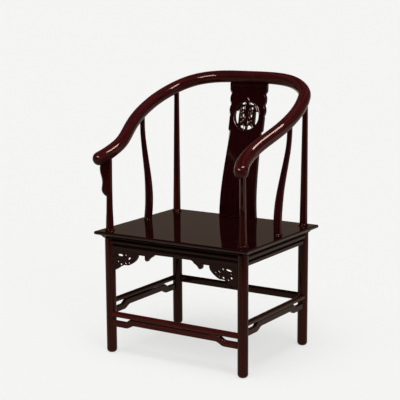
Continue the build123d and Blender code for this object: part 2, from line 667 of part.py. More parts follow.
def spandrel():
    """Pierced bracket between the front apron and the right leg."""
    x0 = PENDANT_IN + PENDANT_W

    def at(across, down):
        return (x0 + across * (HX - x0), APRON_Z - down * SPANDREL_H)

    lobe = [at(0, 0.15), at(0.024, 0.3), at(0.071, 0.4), at(0.15, 0.51), at(0.307, 0.66), at(0.36, 0.68)]
    tail = [at(0.395, 0.645), at(0.547, 0.745), at(0.764, 0.96), at(1, 1.1)]
    outline = Spline(*lobe) + Line(lobe[-1], tail[0]) + Spline(*tail)
    outline += Polyline(tail[-1], at(1, 0), at(0, 0), lobe[0])
    body = board(outline, -HY - APRON_OUT + SPANDREL_T, -HY - APRON_OUT)
    for across, down, length, width, tilt in SPANDREL_HOLES:
        hole = Pos(*at(across, down)) * Rot(0, 0, tilt) * Ellipse(length / 2, width / 2)
        body -= extrude(Plane.XZ * hole, amount=2 * HY)
    return between_legs(body, HX, HY)


def stretcher(side):
    """Floor rail between two legs, with softened edges."""
    _, span, off = SIDES[side]
    top, height = BARS[side]
    section = Plane.YZ * Pos(-off - BAR_OUT, top - height / 2) * RectangleRounded(BAR_T, height, BAR_ROUND)
    body = extrude(section, amount=span, both=True)
    return turned(between_legs(body, span, off) + tenons("stretcher", side), side)


def hump_rail(side):
    """Hump-back rail: meets the stretcher along its middle and drops to lower ends."""
    _, span, off = SIDES[side]
    top, height = BARS[side]
    z = top - height
    slot, rise = span - HUMP_SLOT, span - HUMPS[side]
    shelf, under = z - HUMP_DROP, z - HUMP_DROP - HUMP_H  # top and bottom of the lowered ends
    low, high = rise + HUMP_RISE_L / 2, rise - HUMP_RISE_L / 2
    half = Line((0, z), (slot, z))
    half += Spline((slot, z), (slot + HUMP_TAPER, shelf), tangents=((1, -0.4), (1, 0)))
    half += Polyline((slot + HUMP_TAPER, shelf), (span, shelf), (span, under), (low, under))
    half += Spline((low, under), (high, z - HUMP_H), tangents=((-1, 0), (-1, 0)))
    half += Line((high, z - HUMP_H), (0, z - HUMP_H))
    y = -off - HUMP_OUT
    body = board(half + mirrored(half), y + HUMP_T / 2, y - HUMP_T / 2)
    return turned(between_legs(body, span, off) + tenons("hump_rail", side), side)


# ---------------------------------------------------------------- assembly
pieces = {"seat_panel": seat_panel(), "splat": splat(), "frame_pegs": pegs()}
for side in SIDES:
    pieces[f"seat_rail_{side}"] = seat_rail(side)
    pieces[f"waist_rail_{side}"] = waist_rail(side)
    pieces[f"apron_{side}"] = apron(side)
    pieces[f"stretcher_{side}"] = stretcher(side)
    if side in HUMPS:
        pieces[f"hump_rail_{side}"] = hump_rail(side)
front_leg = leg("front") - bracket_tongue(FIT)
pairs = {
    "leg_front": front_leg,
    "leg_rear": leg("rear"),
    "side_post": side_post(),
    "arm_bracket": arm_bracket(),
    "spandrel": spandrel(),
    "seat_batten": batten(),
}
for name, piece in pairs.items():
    pieces[f"{name}_right"] = piece
    pieces[f"{name}_left"] = mirrored(piece)
pieces.update(crest_rail())

box = Compound(list(pieces.values())).bounding_box()
to_origin = Pos(-box.center().X, -box.center().Y, -box.min.Z)
os.makedirs("parts", exist_ok=True)
for name, piece in pieces.items():
    export_step(to_origin * piece, f"parts/{name}.step")
print("moved by", to_origin.position, "to centre a chair of", box.size)
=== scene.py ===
"""Horseshoe-back armchair in lacquered rosewood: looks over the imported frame, in metres.

The file follows the chair from the floor up. Each section holds one group of pieces with its sizes, colours,
mesh and material. Sizes are millimetres from the floor under the middle of the four legs, as in the part.
"""
import math

import bmesh
import bpy
import numpy as np
from mathutils import Matrix, Vector


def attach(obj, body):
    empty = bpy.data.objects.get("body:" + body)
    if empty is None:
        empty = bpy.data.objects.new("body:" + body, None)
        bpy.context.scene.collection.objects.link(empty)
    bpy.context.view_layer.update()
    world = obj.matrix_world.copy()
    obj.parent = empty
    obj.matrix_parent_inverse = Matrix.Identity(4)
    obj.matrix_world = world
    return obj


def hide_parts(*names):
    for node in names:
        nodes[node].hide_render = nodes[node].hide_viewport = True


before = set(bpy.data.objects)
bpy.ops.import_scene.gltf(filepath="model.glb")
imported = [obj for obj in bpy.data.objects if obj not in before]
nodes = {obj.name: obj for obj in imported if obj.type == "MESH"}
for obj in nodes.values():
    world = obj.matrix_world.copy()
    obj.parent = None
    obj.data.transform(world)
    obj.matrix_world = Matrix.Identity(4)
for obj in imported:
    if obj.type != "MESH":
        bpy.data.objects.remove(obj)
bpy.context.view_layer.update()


# ------------------------------------------------------------------ camera
# A long lens about 4 m off and a little higher than the crest rail, which looks down over the front right
# corner of the seat.
CAMERA_AT = Vector((2.1776, -3.4826, 1.2931))
AZIMUTH, ELEVATION, ROLL = 32.559, 10.284, -0.3065  # degrees
LENS_MM, SENSOR_MM = 104.463, 36.0


def toward(azimuth, elevation):
    """Unit vector from the chair to something at an azimuth round it from the front, and an elevation."""
    a, e = math.radians(azimuth), math.radians(elevation)
    return Vector((math.sin(a) * math.cos(e), -math.cos(a) * math.cos(e), math.sin(e)))


def camera_matrix(place, azimuth, elevation, roll):
    """Camera axes from its angles: back points from subject to camera, and roll turns right and up."""
    back, r = toward(azimuth, elevation), math.radians(roll)
    right = Vector((0.0, 0.0, 1.0)).cross(back).normalized()
    up = back.cross(right)
    right, up = right * math.cos(r) + up * math.sin(r), up * math.cos(r) - right * math.sin(r)
    return Matrix.Translation(place) @ Matrix((right, up, back)).transposed().to_4x4()


camera = bpy.data.objects.new("camera", bpy.data.cameras.new("camera"))
bpy.context.collection.objects.link(camera)
camera.data.lens, camera.data.sensor_width = LENS_MM, SENSOR_MM
camera.data.clip_end = 2000.0
camera.matrix_world = camera_matrix(CAMERA_AT, AZIMUTH, ELEVATION, ROLL)
bpy.context.scene.camera = camera
bpy.context.scene.view_settings.view_transform = "Standard"


# ------------------------------------------------------------------ floor and light
# A pale paper sweep out to the horizon. Two soft suns and an even grey room light the chair; three panels and
# a dim room are only mirrored in its lacquer. To the camera most of the paper is glow: the shadow stays pale.
FLOOR_PALE, FLOOR_GLOW = "#f1f1f0", 0.76  # colour, and the share of it that is the paper's own glow
FLOOR_FAR = "#f5f5f4"  # the lit paper as it looks far off, and the backdrop above the horizon
FLOOR_BOUNCE = "#a0a0a0"  # the paper as it lights the chair
FLOOR_MIRRORED = "#d8c8ba"  # the paper as the lacquer mirrors it
FLOOR_REACH = 600.0  # metres from the middle to each edge
ROOM_LIGHT = "#747474"  # the room as it lights the chair
ROOM_LOW, ROOM_HIGH, ROOM_FRONT = "#6c6156", "#0b0a09", "#141110"  # mirrored: behind, overhead, camera side
HIGH_FROM, HIGH_TO = 0.25, 0.6  # sines of the elevations between which the mirrored room turns dark
FRONT_TO = 0.5  # sine of the turn towards the camera at which it has its front colour
DARK_FROM, DARK_TO = 1.2, 2.4  # metres towards the camera over which the mirrored floor darkens
SUNS = {"key": (14, 76, 2.85, 44), "side": (62, 24, 0.7, 25)}  # azimuth, elevation, strength, spread
PANELS = {
    "strip_right": (80, 55, 0.85, 1.16, (0.7, 0.36), 48.0, "#fff0ea"),
    "strip_front": (-3, 30, 0.85, 2.3, (1.15, 0.7), 38.0, "#fff0ec"),
    "wall_right": (108, 2, 0.45, 2.5, (2.4, 0.9), 1.0, "#ffe4e2"),
}  # azimuth, elevation, height of the point on the chair that each faces, distance, size, radiance, colour
CAMERA_SIDE = (math.sin(math.radians(AZIMUTH)), -math.cos(math.radians(AZIMUTH)), 0.0)


def linear(code):
    """sRGB hex to linear RGBA: each channel through the sRGB curve."""
    channel = [int(code[i : i + 2], 16) / 255 for i in (1, 3, 5)]
    return [c / 12.92 if c <= 0.04045 else ((c + 0.055) / 1.055) ** 2.4 for c in channel] + [1.0]


def add(tree, kind, settings=None, **links):
    """Adds a node, sets its properties and socket values, and links its sockets from other nodes' outputs.

    A number is a socket's place, written n6 in links: a Mix node's two colours are 6 and 7, its result 2.
    """
    node = tree.nodes.new(kind)
    for name, value in (settings or {}).items():
        if isinstance(name, int) or name in node.inputs.keys():
            node.inputs[name].default_value = value
        else:
            setattr(node, name, value)
    for name, source in links.items():
        key = int(name[1:]) if name[0] == "n" and name[1:].isdigit() else name.replace("_", " ")
        tree.links.new(source.outputs[0] if isinstance(source, bpy.types.Node) else source, node.inputs[key])
    return node


def material(name):
    """An empty node material and its tree."""
    made = bpy.data.materials.new(name)
    made.use_nodes = True
    made.node_tree.nodes.clear()
    return made, made.node_tree


def ground():
    """Level sheet so wide that it fills the view to the horizon."""
    mesh = bpy.data.meshes.new("floor")
    r = FLOOR_REACH
    mesh.from_pydata([(-r, -r, 0), (r, -r, 0), (r, r, 0), (-r, r, 0)], [], [(0, 1, 2, 3)])
    sheet = bpy.data.objects.new("floor", mesh)
    bpy.context.collection.objects.link(sheet)
    # matt background paper, rolled out flat; in reflections it ends in the dark room behind the camera
    made, tree = material("background_paper")
    matt = add(tree, "ShaderNodeBsdfDiffuse", {"Color": linear(FLOOR_PALE)})
    weak = add(tree, "ShaderNodeBsdfDiffuse", {"Color": linear(FLOOR_BOUNCE)})
    glow = add(tree, "ShaderNodeEmission", {"Color": linear(FLOOR_PALE), "Strength": 1.0})
    ray = add(tree, "ShaderNodeLightPath")
    seen = ray.outputs["Is Camera Ray"]
    share = add(tree, "ShaderNodeMath", {"operation": "MULTIPLY", 1: FLOOR_GLOW}, n0=seen)
    lit = add(tree, "ShaderNodeMixShader", None, n0=seen, n1=weak, n2=matt)
    paper = add(tree, "ShaderNodeMixShader", None, n0=share, n1=lit, n2=glow)
    place = add(tree, "ShaderNodeTexCoord").outputs["Object"]
    out = add(tree, "ShaderNodeVectorMath", {"operation": "DOT_PRODUCT", 1: CAMERA_SIDE}, n0=place)
    reach = {"From Min": DARK_FROM, "From Max": DARK_TO}
    far = add(tree, "ShaderNodeMapRange", reach, Value=out.outputs["Value"])
    colours = {"data_type": "RGBA", 6: linear(FLOOR_MIRRORED), 7: linear(ROOM_FRONT)}
    mirrored = add(tree, "ShaderNodeMix", colours, Factor=far)
    room = add(tree, "ShaderNodeEmission", {"Strength": 1.0}, Color=mirrored.outputs[2])
    both = add(tree, "ShaderNodeMixShader", None, n0=ray.outputs["Is Glossy Ray"], n1=paper, n2=room)
    add(tree, "ShaderNodeOutputMaterial", None, Surface=both)
    mesh.materials.append(made)


ground()


def lamp(name, kind, settings, way, place=(0, 0, 0)):
    """A lamp with its own settings, set at a place and shining back along the way that leads to it."""
    data = bpy.data.lights.new(name, kind)
    for key, value in settings.items():
        setattr(data, key, value)
    made = bpy.data.objects.new(name, data)
    bpy.context.collection.objects.link(made)
    made.matrix_world = Matrix.Translation(place) @ way.to_track_quat("Z", "Y").to_matrix().to_4x4()
    return made


for name, (azimuth, elevation, strength, spread) in SUNS.items():
    settings = {"energy": strength, "angle": math.radians(spread)}
    lamp(name, "SUN", settings, toward(azimuth, elevation)).visible_glossy = False

# A panel's power is its radiance times pi times its area.
for name, (azimuth, elevation, level, far, (wide, tall), radiance, colour) in PANELS.items():
    way = toward(azimuth, elevation)
    settings = {"shape": "RECTANGLE", "size": wide, "size_y": tall, "color": linear(colour)[:3],
                "energy": radiance * math.pi * wide * tall}
    panel = lamp(name, "AREA", settings, way, Vector((0.0, 0.0, level)) + far * way)
    panel.visible_camera = panel.visible_diffuse = False


def studio():
    """World: even grey where it lights the chair, and the floor's far colour to the camera.

    Mirrored, it is a dim band near the horizon behind the chair, dark overhead and on the camera's side.
    """
    world = bpy.data.worlds.new("studio")
    bpy.context.scene.world = world
    world.use_nodes = True
    tree = world.node_tree
    tree.nodes.clear()
    way = add(tree, "ShaderNodeTexCoord").outputs["Generated"]
    height = add(tree, "ShaderNodeSeparateXYZ", None, Vector=way)
    reach = {"From Min": HIGH_FROM, "From Max": HIGH_TO}
    high = add(tree, "ShaderNodeMapRange", reach, Value=height.outputs["Z"])
    front = add(tree, "ShaderNodeVectorMath", {"operation": "DOT_PRODUCT", 1: CAMERA_SIDE}, n0=way)
    near = add(tree, "ShaderNodeMapRange", {"From Max": FRONT_TO}, Value=front.outputs["Value"])
    level = add(tree, "ShaderNodeMix", {"data_type": "RGBA", 6: linear(ROOM_LOW), 7: linear(ROOM_FRONT)},
                Factor=near)
    room = add(tree, "ShaderNodeMix", {"data_type": "RGBA", 7: linear(ROOM_HIGH)}, Factor=high,
               n6=level.outputs[2])
    ray = add(tree, "ShaderNodeLightPath")
    unseen = add(tree, "ShaderNodeMix", {"data_type": "RGBA", 6: linear(ROOM_LIGHT)},
                 Factor=ray.outputs["Is Glossy Ray"], n7=room.outputs[2])
    shown = add(tree, "ShaderNodeMix", {"data_type": "RGBA", 7: linear(FLOOR_FAR)},
                Factor=ray.outputs["Is Camera Ray"], n6=unseen.outputs[2])
    back = add(tree, "ShaderNodeBackground", {"Strength": 1.0}, Color=shown.outputs[2])
    add(tree, "ShaderNodeOutputWorld", None, Surface=back)


studio()


# ------------------------------------------------------------------ legs and corner posts
# Four round legs, each one timber of rosewood from the floor up to the crest rail, turned on a lathe: rounded
# foot, neck through the seat frame, ringed collar on the seat, slender post above. Clear lacquer, polished.
SHIFT = np.array([0.0, -23.494, 0.0])  # from the middle of the legs to the frame's origin
HX, HY, SEAT = 275.0, 216.0, 450.0  # half the leg spans, and the seat's height
LEG_R, FOOT_ROUND, NECK_R = 18.5, 13.0, 13.0
FRAME_Z = 424.0  # underside of the seat frame
COLLAR = [
    (NECK_R, 448.0), (18.0, 449.5), (18.4, 450.6), (18.0, 451.6), (16.2, 452.2), (16.4, 452.6), (17.2, 453.4),
    (17.4, 454.2), (17.2, 455.0), (16.2, 456.0), (14.6, 456.6), (14.3, 457.4),
]  # radius and height
FRONT_POST = [(0.0, 14.25), (0.165, 12.75), (0.386, 11.15), (0.65, 10.7), (1.0, 10.9)]
REAR_POST = [(0.0, 14.25), (0.35, 12.5), (0.7, 10.8), (1.0, 9.25)]  # share of a post's height, and radius
FRONT_HEAD, REAR_HEAD = (272.5, -216.0, 728.3), (275.0, 221.0, 931.3)
TURNED = 48  # corners of a leg's round section
BAND_WIDE, BAND_LONG = 1000 / 160, 1000 / 6  # mm: 160 growth bands to a metre across the wood, 6 along it
PORE_WIDE, PORE_LONG = 1000 / 1800, 1000 / 70  # mm: its pores, drawn three times as wide as real ones to show
RIPPLE = 1000 / 28  # mm: waves that the brush leaves in the lacquer
# the first colour is painted shade, put into recesses where shade falls; the second tints the lacquer's
# reflections
SHADE_BLACK, LACQUER_TINT = "#020101", "#fff0e0"
OTHER_TREE = 0.4  # metres that set the left and right legs apart in the grain


def curve(knots):
    """Natural cubic spline through knots by chord length; the result maps shares 0..1 of it to points.

    Between knots k and k+1, h apart: p + a (slope - h (2 m + m') / 6) + a^2 m / 2 + a^3 (m' - m) / 6 h, where
    m is the second derivative at each knot, solved from the usual three-term rows and zero at both ends.
    """
    p = np.asarray(knots, float)
    h = np.linalg.norm(np.diff(p, axis=0), axis=1)
    s = np.r_[0.0, np.cumsum(h)]
    n = len(p)
    slope = np.diff(p, axis=0) / h[:, None]
    rows, right, i = np.eye(n), np.zeros_like(p), np.arange(1, n - 1)
    rows[i, i - 1], rows[i, i], rows[i, i + 1] = h[:-1], 2 * (h[:-1] + h[1:]), h[1:]
    right[1:-1] = 6 * np.diff(slope, axis=0)
    m = np.linalg.solve(rows, right)

    def point(t):
        d = np.atleast_1d(t) * s[-1]
        k = np.clip(np.searchsorted(s, d, side="right") - 1, 0, n - 2)
        a, w = (d - s[k])[:, None], h[k][:, None]
        straight = p[k] + a * (slope[k] - w * (2 * m[k] + m[k + 1]) / 6)
        return straight + a**2 * m[k] / 2 + a**3 * (m[k + 1] - m[k]) / (6 * w)

    return point


def skin(rings):
    """Faces over a stack of equal rings (stations, corners, 3), with a fan on a middle point at each end.

    Corner j of ring i is point i m + j; quads join it to the next corner and the next ring.
    """
    n, m, _ = rings.shape
    i, j = np.meshgrid(np.arange(n - 1), np.arange(m), indexing="ij")
    a, b = i * m + j, i * m + (j + 1) % m
    quads = np.stack([a, b, b + m, a + m], -1).reshape(-1, 4)
    rim, after = np.arange(m), (np.arange(m) + 1) % m
    low = np.stack([after, rim, np.full(m, n * m)], -1)
    high = np.stack([rim, after, np.full(m, n * m + 1)], -1)
    high[:, :2] += (n - 1) * m
    ends = np.stack([rings[0].mean(0), rings[-1].mean(0)])
    return np.vstack([rings.reshape(-1, 3), ends]), quads.tolist() + low.tolist() + high.tolist()


def join(*shells):
    """Several sets of points and faces as one."""
    points, faces, base = [], [], 0
    for some, these in shells:
        points.append(some)
        faces += [[base + i for i in face] for face in these]
        base += len(some)
    return np.vstack(points), faces


def grained(points, along):
    """Points with the piece's length first, as the wood's grain reads them."""
    return np.roll(points, -along, axis=1) / 1000


def piece(name, shell, stuff, node=None, grain=None, recess_shade=None, sharp=35.0, rounded=0.0):
    """One closed piece: smooth but for corners over a given angle, or with its corners rounded.

    grain is each point's place in the timber, length first; the recess mask marks points down in hollows,
    which get black painted shade and stay unpolished.
    """
    points, faces = shell
    mesh = bpy.data.meshes.new(name)
    mesh.from_pydata(((points + SHIFT) / 1000).tolist(), [], faces)
    check = bmesh.new()
    check.from_mesh(mesh)
    inside_out = check.calc_volume(signed=True) < 0
    check.free()
    if inside_out:
        mesh.flip_normals()
    place = points / 1000 if grain is None else grain
    timber = mesh.attributes.new("grain", "FLOAT_VECTOR", "POINT")
    timber.data.foreach_set("vector", place.astype("f").ravel())
    if recess_shade is not None:
        mesh.attributes.new("recess_shade", "FLOAT", "POINT").data.foreach_set("value", recess_shade.astype("f"))
    mesh.shade_smooth()
    made = bpy.data.objects.new(name, mesh)
    bpy.context.collection.objects.link(made)
    if rounded:
        bevel = made.modifiers.new("rounded_edges", "BEVEL")
        bevel.width, bevel.segments, bevel.limit_method = rounded / 1000, 3, "ANGLE"
        bevel.angle_limit, bevel.harden_normals = math.radians(sharp), True
    else:
        mesh.set_sharp_from_angle(angle=math.radians(sharp))
    mesh.materials.append(stuff)
    if node:
        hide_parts(node)
    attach(made, "root")
    return made


def lacquered(name, deep, warm, along=None, gloss=0.035, level=0.14):
    """Fine-grained rosewood, stained dark and brush-lacquered, then rubbed and polished.

    Grain: two noises drawn out about 26 times along the timber, one for the growth bands and one for the
    pores, mix a deep and a warm colour. The lacquer over it is a clear smooth coat. Recesses get black
    painted shade and stay unpolished.
    """
    made, tree = material(name)
    if along is None:
        place = add(tree, "ShaderNodeAttribute", {"attribute_name": "grain"}).outputs["Vector"]
    else:
        place = add(tree, "ShaderNodeTexCoord").outputs["Object"]
    wood = []
    for wide, long, look in (
        (BAND_WIDE, BAND_LONG, {"Detail": 4.0, "Distortion": 0.6}),
        (PORE_WIDE, PORE_LONG, {"Detail": 2.0}),
    ):
        stretch = [1000 / (long if axis == (along or 0) else wide) for axis in range(3)]
        drawn = add(tree, "ShaderNodeMapping", {"Scale": stretch}, Vector=place)
        wood.append(add(tree, "ShaderNodeTexNoise", {"Scale": 1.0, **look}, Vector=drawn))
    bands, pores = wood  # the middle range of each noise is spread over the whole mix
    figure = add(tree, "ShaderNodeMapRange", {"From Min": 0.36, "From Max": 0.66}, Value=bands)
    speck = add(tree, "ShaderNodeMapRange", {"From Min": 0.3, "From Max": 0.62, "To Min": 0.55}, Value=pores)
    stain = {"data_type": "RGBA", 6: linear(deep), 7: linear(warm)}
    colour = add(tree, "ShaderNodeMix", stain, Factor=figure)
    pored = add(tree, "ShaderNodeMix", {"data_type": "RGBA", "blend_type": "MULTIPLY", "Factor": 1.0},
                n6=colour.outputs[2], n7=speck)
    # points marked as down in a recess get painted shade: a black base colour, and a rough unpolished coat
    shade_mask = add(tree, "ShaderNodeAttribute", {"attribute_name": "recess_shade"}).outputs["Fac"]
    base = add(tree, "ShaderNodeMix", {"data_type": "RGBA", 7: linear(SHADE_BLACK)}, Factor=shade_mask,
               n6=pored.outputs[2])
    dull = add(tree, "ShaderNodeMapRange", {"To Min": gloss, "To Max": 0.7}, Value=shade_mask)
    ripple = add(tree, "ShaderNodeTexNoise", {"Scale": 1000 / RIPPLE, "Detail": 1.0}, Vector=place)
    wave = add(tree, "ShaderNodeBump", {"Strength": 0.04, "Distance": 0.001}, Height=ripple)
    coat = {"IOR": 1.5, "Specular IOR Level": level, "Specular Tint": linear(LACQUER_TINT)}
    shade = add(tree, "ShaderNodeBsdfPrincipled", coat, Base_Color=base.outputs[2], Roughness=dull,
                Normal=wave)
    add(tree, "ShaderNodeOutputMaterial", None, Surface=shade)
    return made


def ring(angles):
    """Unit circle points, across and up, at evenly spaced angles."""
    a = np.linspace(0, 2 * np.pi, angles, endpoint=False)
    return np.stack([np.cos(a), np.sin(a)], -1)


def leg(side, end):
    """Stations of radius, height and lean from the foot's quarter round up to the post's head."""
    head = FRONT_HEAD if end == "front" else REAR_HEAD
    a = np.linspace(0, np.pi / 2, 10)
    foot = np.stack([LEG_R - FOOT_ROUND * (1 - np.sin(a)), FOOT_ROUND * (1 - np.cos(a))], -1)
    shank = [(LEG_R, 60.0), (LEG_R, 240.0), (LEG_R, FRAME_Z), (NECK_R, FRAME_Z)]
    low = COLLAR[-1][1]
    share = curve(FRONT_POST if end == "front" else REAR_POST)(np.linspace(0, 1, 60))
    post = np.stack([share[:, 1], low + share[:, 0] * (head[2] - low)], -1)
    r, z = np.vstack([foot, shank, COLLAR, post]).T
    lean = np.clip((z - low) / (head[2] - low), 0, 1)
    y0 = -HY if end == "front" else HY
    centre = np.stack([HX + lean * (head[0] - HX), y0 + lean * (head[1] - y0), z], -1)
    rings = np.repeat(centre[:, None, :], TURNED, axis=1)
    rings[..., :2] += r[:, None, None] * ring(TURNED)
    points, faces = skin(rings)
    points[:, 0] *= side
    return points, faces


# polished lacquer on turned wood: long thin lines of light over a red-brown grain
leg_wood = lacquered("rosewood_lacquered_turned", "#280807", "#40120e")
for end in ("front", "rear"):
    for hand, side in (("left", -1), ("right", 1)):
        shell, node = leg(side, end), f"leg_{end}_{hand}"
        piece(f"turned_{node}", shell, leg_wood, node, grained(shell[0], 2) + side * OTHER_TREE)


# ------------------------------------------------------------------ stretchers
# Four floor rails of rosewood between the legs, planed with full round edges and tenoned in; the front one is
# set low for the feet and the rear one is deeper. Same lacquer, worn a little redder where feet rest.
SIDES = {"front": (0, HX, HY), "right": (1, HY, HX), "rear": (2, HX, HY), "left": (3, HY, HX)}  # turns, spans
BARS = {"front": (155.5, 20.0), "right": (196.0, 18.5), "rear": (196.0, 28.0), "left": (196.0, 18.5)}
BAR_T, BAR_OUT, BAR_ROUND = 18.0, 6.7, 7.0  # BARS gives each bar's top and height
IN_LEG = 12.0  # a member ends this far short of the leg's middle


def carried(points, side):
    """Points drawn on the front, carried by quarter turns round the chair to their own side."""
    c, s = ((1, 0), (0, 1), (-1, 0), (0, -1))[SIDES[side][0]]
    x, y, z = points.T
    return np.stack([c * x - s * y, s * x + c * y, z], -1)


def rounded_outline(width, height, radius):
    """Bar's outline about its middle, (across, up): four quarter circles joined by straight sides."""
    a = np.linspace(0, np.pi / 2, 9)
    q = np.stack([np.cos(a), np.sin(a)], -1) * radius + [width / 2 - radius, height / 2 - radius]
    return np.vstack([q, q[::-1] * [-1, 1], -q, q[::-1] * [1, -1]])


def extruded(outline, ends):
    """Outline (y, z) carried along X between one end per outline point and its mirror image."""
    x = np.broadcast_to(ends, len(outline))
    low, high = (np.column_stack([k * x, outline]) for k in (-1, 1))
    return skin(np.stack([low, high]))


# planed and polished; the tread has lost its black and shows the red of the wood
bar_wood = lacquered("rosewood_lacquered_rails", "#240a06", "#38130c")
tread_wood = lacquered("rosewood_lacquered_tread", "#3a0d0c", "#541814")
bar_woods = {side: tread_wood if side == "front" else bar_wood for side in SIDES}
for side, (_, span, off) in SIDES.items():
    top, height = BARS[side]
    section = rounded_outline(BAR_T, height, BAR_ROUND) + [-off - BAR_OUT, top - height / 2]
    points, faces = extruded(section, span - IN_LEG)
    piece(f"rail_{side}", (carried(points, side), faces), bar_woods[side], f"stretcher_{side}",
          points / 1000)

# ------------------------------------------------------------------ hump-back rails
# Thin rails sawn to a hump under the front and side stretchers, set a little behind them so that a dark line
# parts the two; edges eased, fixed by tenons at both ends.
HUMP_T, HUMP_OUT, HUMP_H, HUMP_DROP, HUMP_GAP = 14.0, 3.2, 23.0, 13.0, 0.6
HUMP_SLOT, HUMP_TAPER, HUMP_RISE_L = 89.0, 26.0, 36.0
HUMPS = {"front": 88.0, "right": 96.0, "left": 96.0}  # leg centre to the middle of the lower edge's rise
CROSSING = 0.5  # half of the short flat run where an outline crosses the middle


def glide(a, b, slope_a, slope_b):
    """Cubic from point a to b that leaves and arrives along two slopes: Hermite blend, handles b - a long."""
    a, b = np.array(a), np.array(b)
    reach = np.linalg.norm(b - a)
    da, db = (np.array(v) / np.linalg.norm(v) * reach for v in (slope_a, slope_b))
    t = np.linspace(0, 1, 14)[:, None]
    leaving = (1 + 2 * t) * (1 - t) ** 2 * a + t * (1 - t) ** 2 * da
    return leaving + t**2 * (3 - 2 * t) * b + t**2 * (t - 1) * db


def mirrored_loop(half):
    """Closed outline from its right half, drawn from the top's middle round to the bottom's middle."""
    return np.vstack([half, (half * [-1, 1])[::-1]])


def prism(outline, y0, y1):
    """Flat board across the chair: its outline (x, z), filled at y0 and y1 and walled between."""
    n = len(outline)
    x, z = outline.T
    points = np.vstack([np.column_stack([x, np.full(n, y), z]) for y in (y0, y1)])
    i = np.arange(n)
    after = (i + 1) % n
    walls = np.stack([i, after, after + n, i + n], -1).tolist()
    return points, [i[::-1].tolist(), (i + n).tolist()] + walls


for side, rise_at in HUMPS.items():
    _, span, off = SIDES[side]
    z = BARS[side][0] - BARS[side][1] - HUMP_GAP
    slot_x, rise = span - HUMP_SLOT, span - rise_at
    shelf, under, end = z - HUMP_DROP, z - HUMP_DROP - HUMP_H, span - IN_LEG
    half = np.vstack([
        [(CROSSING, z)],
        glide((slot_x, z), (slot_x + HUMP_TAPER, shelf), (1, -0.4), (1, 0)),
        [(end, shelf), (end, under)],
        glide((rise + HUMP_RISE_L / 2, under), (rise - HUMP_RISE_L / 2, z - HUMP_H), (-1, 0), (-1, 0)),
        [(CROSSING, z - HUMP_H)],
    ])
    y = -off - HUMP_OUT
    points, faces = prism(mirrored_loop(half), y - HUMP_T / 2, y + HUMP_T / 2)
    piece(f"hump_{side}", (carried(points, side), faces), bar_woods[side], f"hump_rail_{side}",
          points / 1000, sharp=40.0, rounded=3.5)

# ------------------------------------------------------------------ waist rails
# Four slightly swelled bands of rosewood, tenoned between the legs. Each hangs below a deep recess under the
# seat frame, which is left unpolished; its black is painted shade.
WAIST_TOP, WAIST_Z, WAIST_OUT, WAIST_SWELL, WAIST_T = 418.5, 407.5, 14.0, 1.0, 20.0
WAIST_NECK_IN = 9.0
NEAR = 0.1  # a point this close to a recess's face lies on it


def swelled(face, low, high, swell):
    """Upright arc from low to high that swells outwards by a given amount in the middle."""
    t = np.linspace(-1, 1, 9)
    return np.stack([face - swell * (1 - t**2), (low + high) / 2 + (high - low) / 2 * t], -1)


# dark polished lacquer, with a thin light along each edge and swell
apron_wood = lacquered("rosewood_lacquered_aprons", "#1c0706", "#320e0c", level=0.17)
for side, (_, span, off) in SIDES.items():
    face = -off - WAIST_OUT
    outline = np.vstack([
        swelled(face, WAIST_Z, WAIST_TOP, WAIST_SWELL),
        [(face + WAIST_NECK_IN, WAIST_TOP), (face + WAIST_NECK_IN, FRAME_Z), (face + WAIST_T, FRAME_Z),
         (face + WAIST_T, WAIST_Z)],
    ])
    points, faces = extruded(outline, span - IN_LEG)
    # the recess's face gets black painted shade
    shade_mask = (np.abs(points[:, 1] - face - WAIST_NECK_IN) < NEAR) * 1.0
    piece(f"waist_{side}", (carried(points, side), faces), apron_wood, f"waist_rail_{side}",
          points / 1000, shade_mask)

# ------------------------------------------------------------------ aprons
# Four boards tongued up into the waist rails behind another recess, painted black as shade; the front one
# hangs two small cloud pendants, and a fine bead is carved along its lower edge.
APRON_TOP, APRON_Z, APRON_OUT, APRON_T, APRON_NECK_IN, APRON_BOARD = 396.5, 385.0, 10.0, 14.0, 7.0, 13.5
PENDANT_IN, PENDANT_W, PENDANT_DROP = 70.0, 78.0, 27.0
PENDANT_RUNS = [
    [(0, 0), (0.11, 0.1), (0.19, 0.33)],
    [(0.19, 0.33), (0.35, 0.6), (0.46, 1.0)],
    [(0.46, 1.0), (0.515, 1.02), (0.57, 1.0)],
    [(0.57, 1.0), (0.605, 0.86), (0.615, 0.45)],
    [(0.615, 0.45), (0.63, 0.38), (0.66, 0.36)],
    [(0.66, 0.36), (1.0, 0.36)],
]  # across and down, as shares of the pendant's width and drop
EDGE_BEAD, EDGE_BEAD_IN = 1.3, 3.0
FORWARDS = (0, -1, 0)
TONGUE_LOW, TONGUE_HIGH, TONGUE_BACK = -2.0, 4.0, -1.0  # past the board's top, the waist rail's and the back


def cord(path, outward, radius, around=8):
    """Half-sunk carved bead: circles square to a path of points, turned to an outward direction."""
    along = np.gradient(path, axis=0)
    along /= np.linalg.norm(along, axis=1, keepdims=True)
    out = np.broadcast_to(np.asarray(outward, float), path.shape)
    aside = np.cross(along, out)
    aside /= np.linalg.norm(aside, axis=1, keepdims=True)
    out = np.cross(aside, along)
    round_ = ring(around) * radius
    return skin(path[:, None] + round_[:, :1] * aside[:, None] + round_[:, 1:] * out[:, None])


def inset(line, by):
    """Open outline (x, z) moved to its left by a distance, square to its own run."""
    run = np.gradient(line, axis=0)
    run /= np.linalg.norm(run, axis=1, keepdims=True)
    return line + by * np.stack([-run[:, 1], run[:, 0]], -1)


def on_face(flat, y):
    """Points (x, z) set on an upright face."""
    return np.column_stack([flat[:, 0], np.full(len(flat), y), flat[:, 1]])


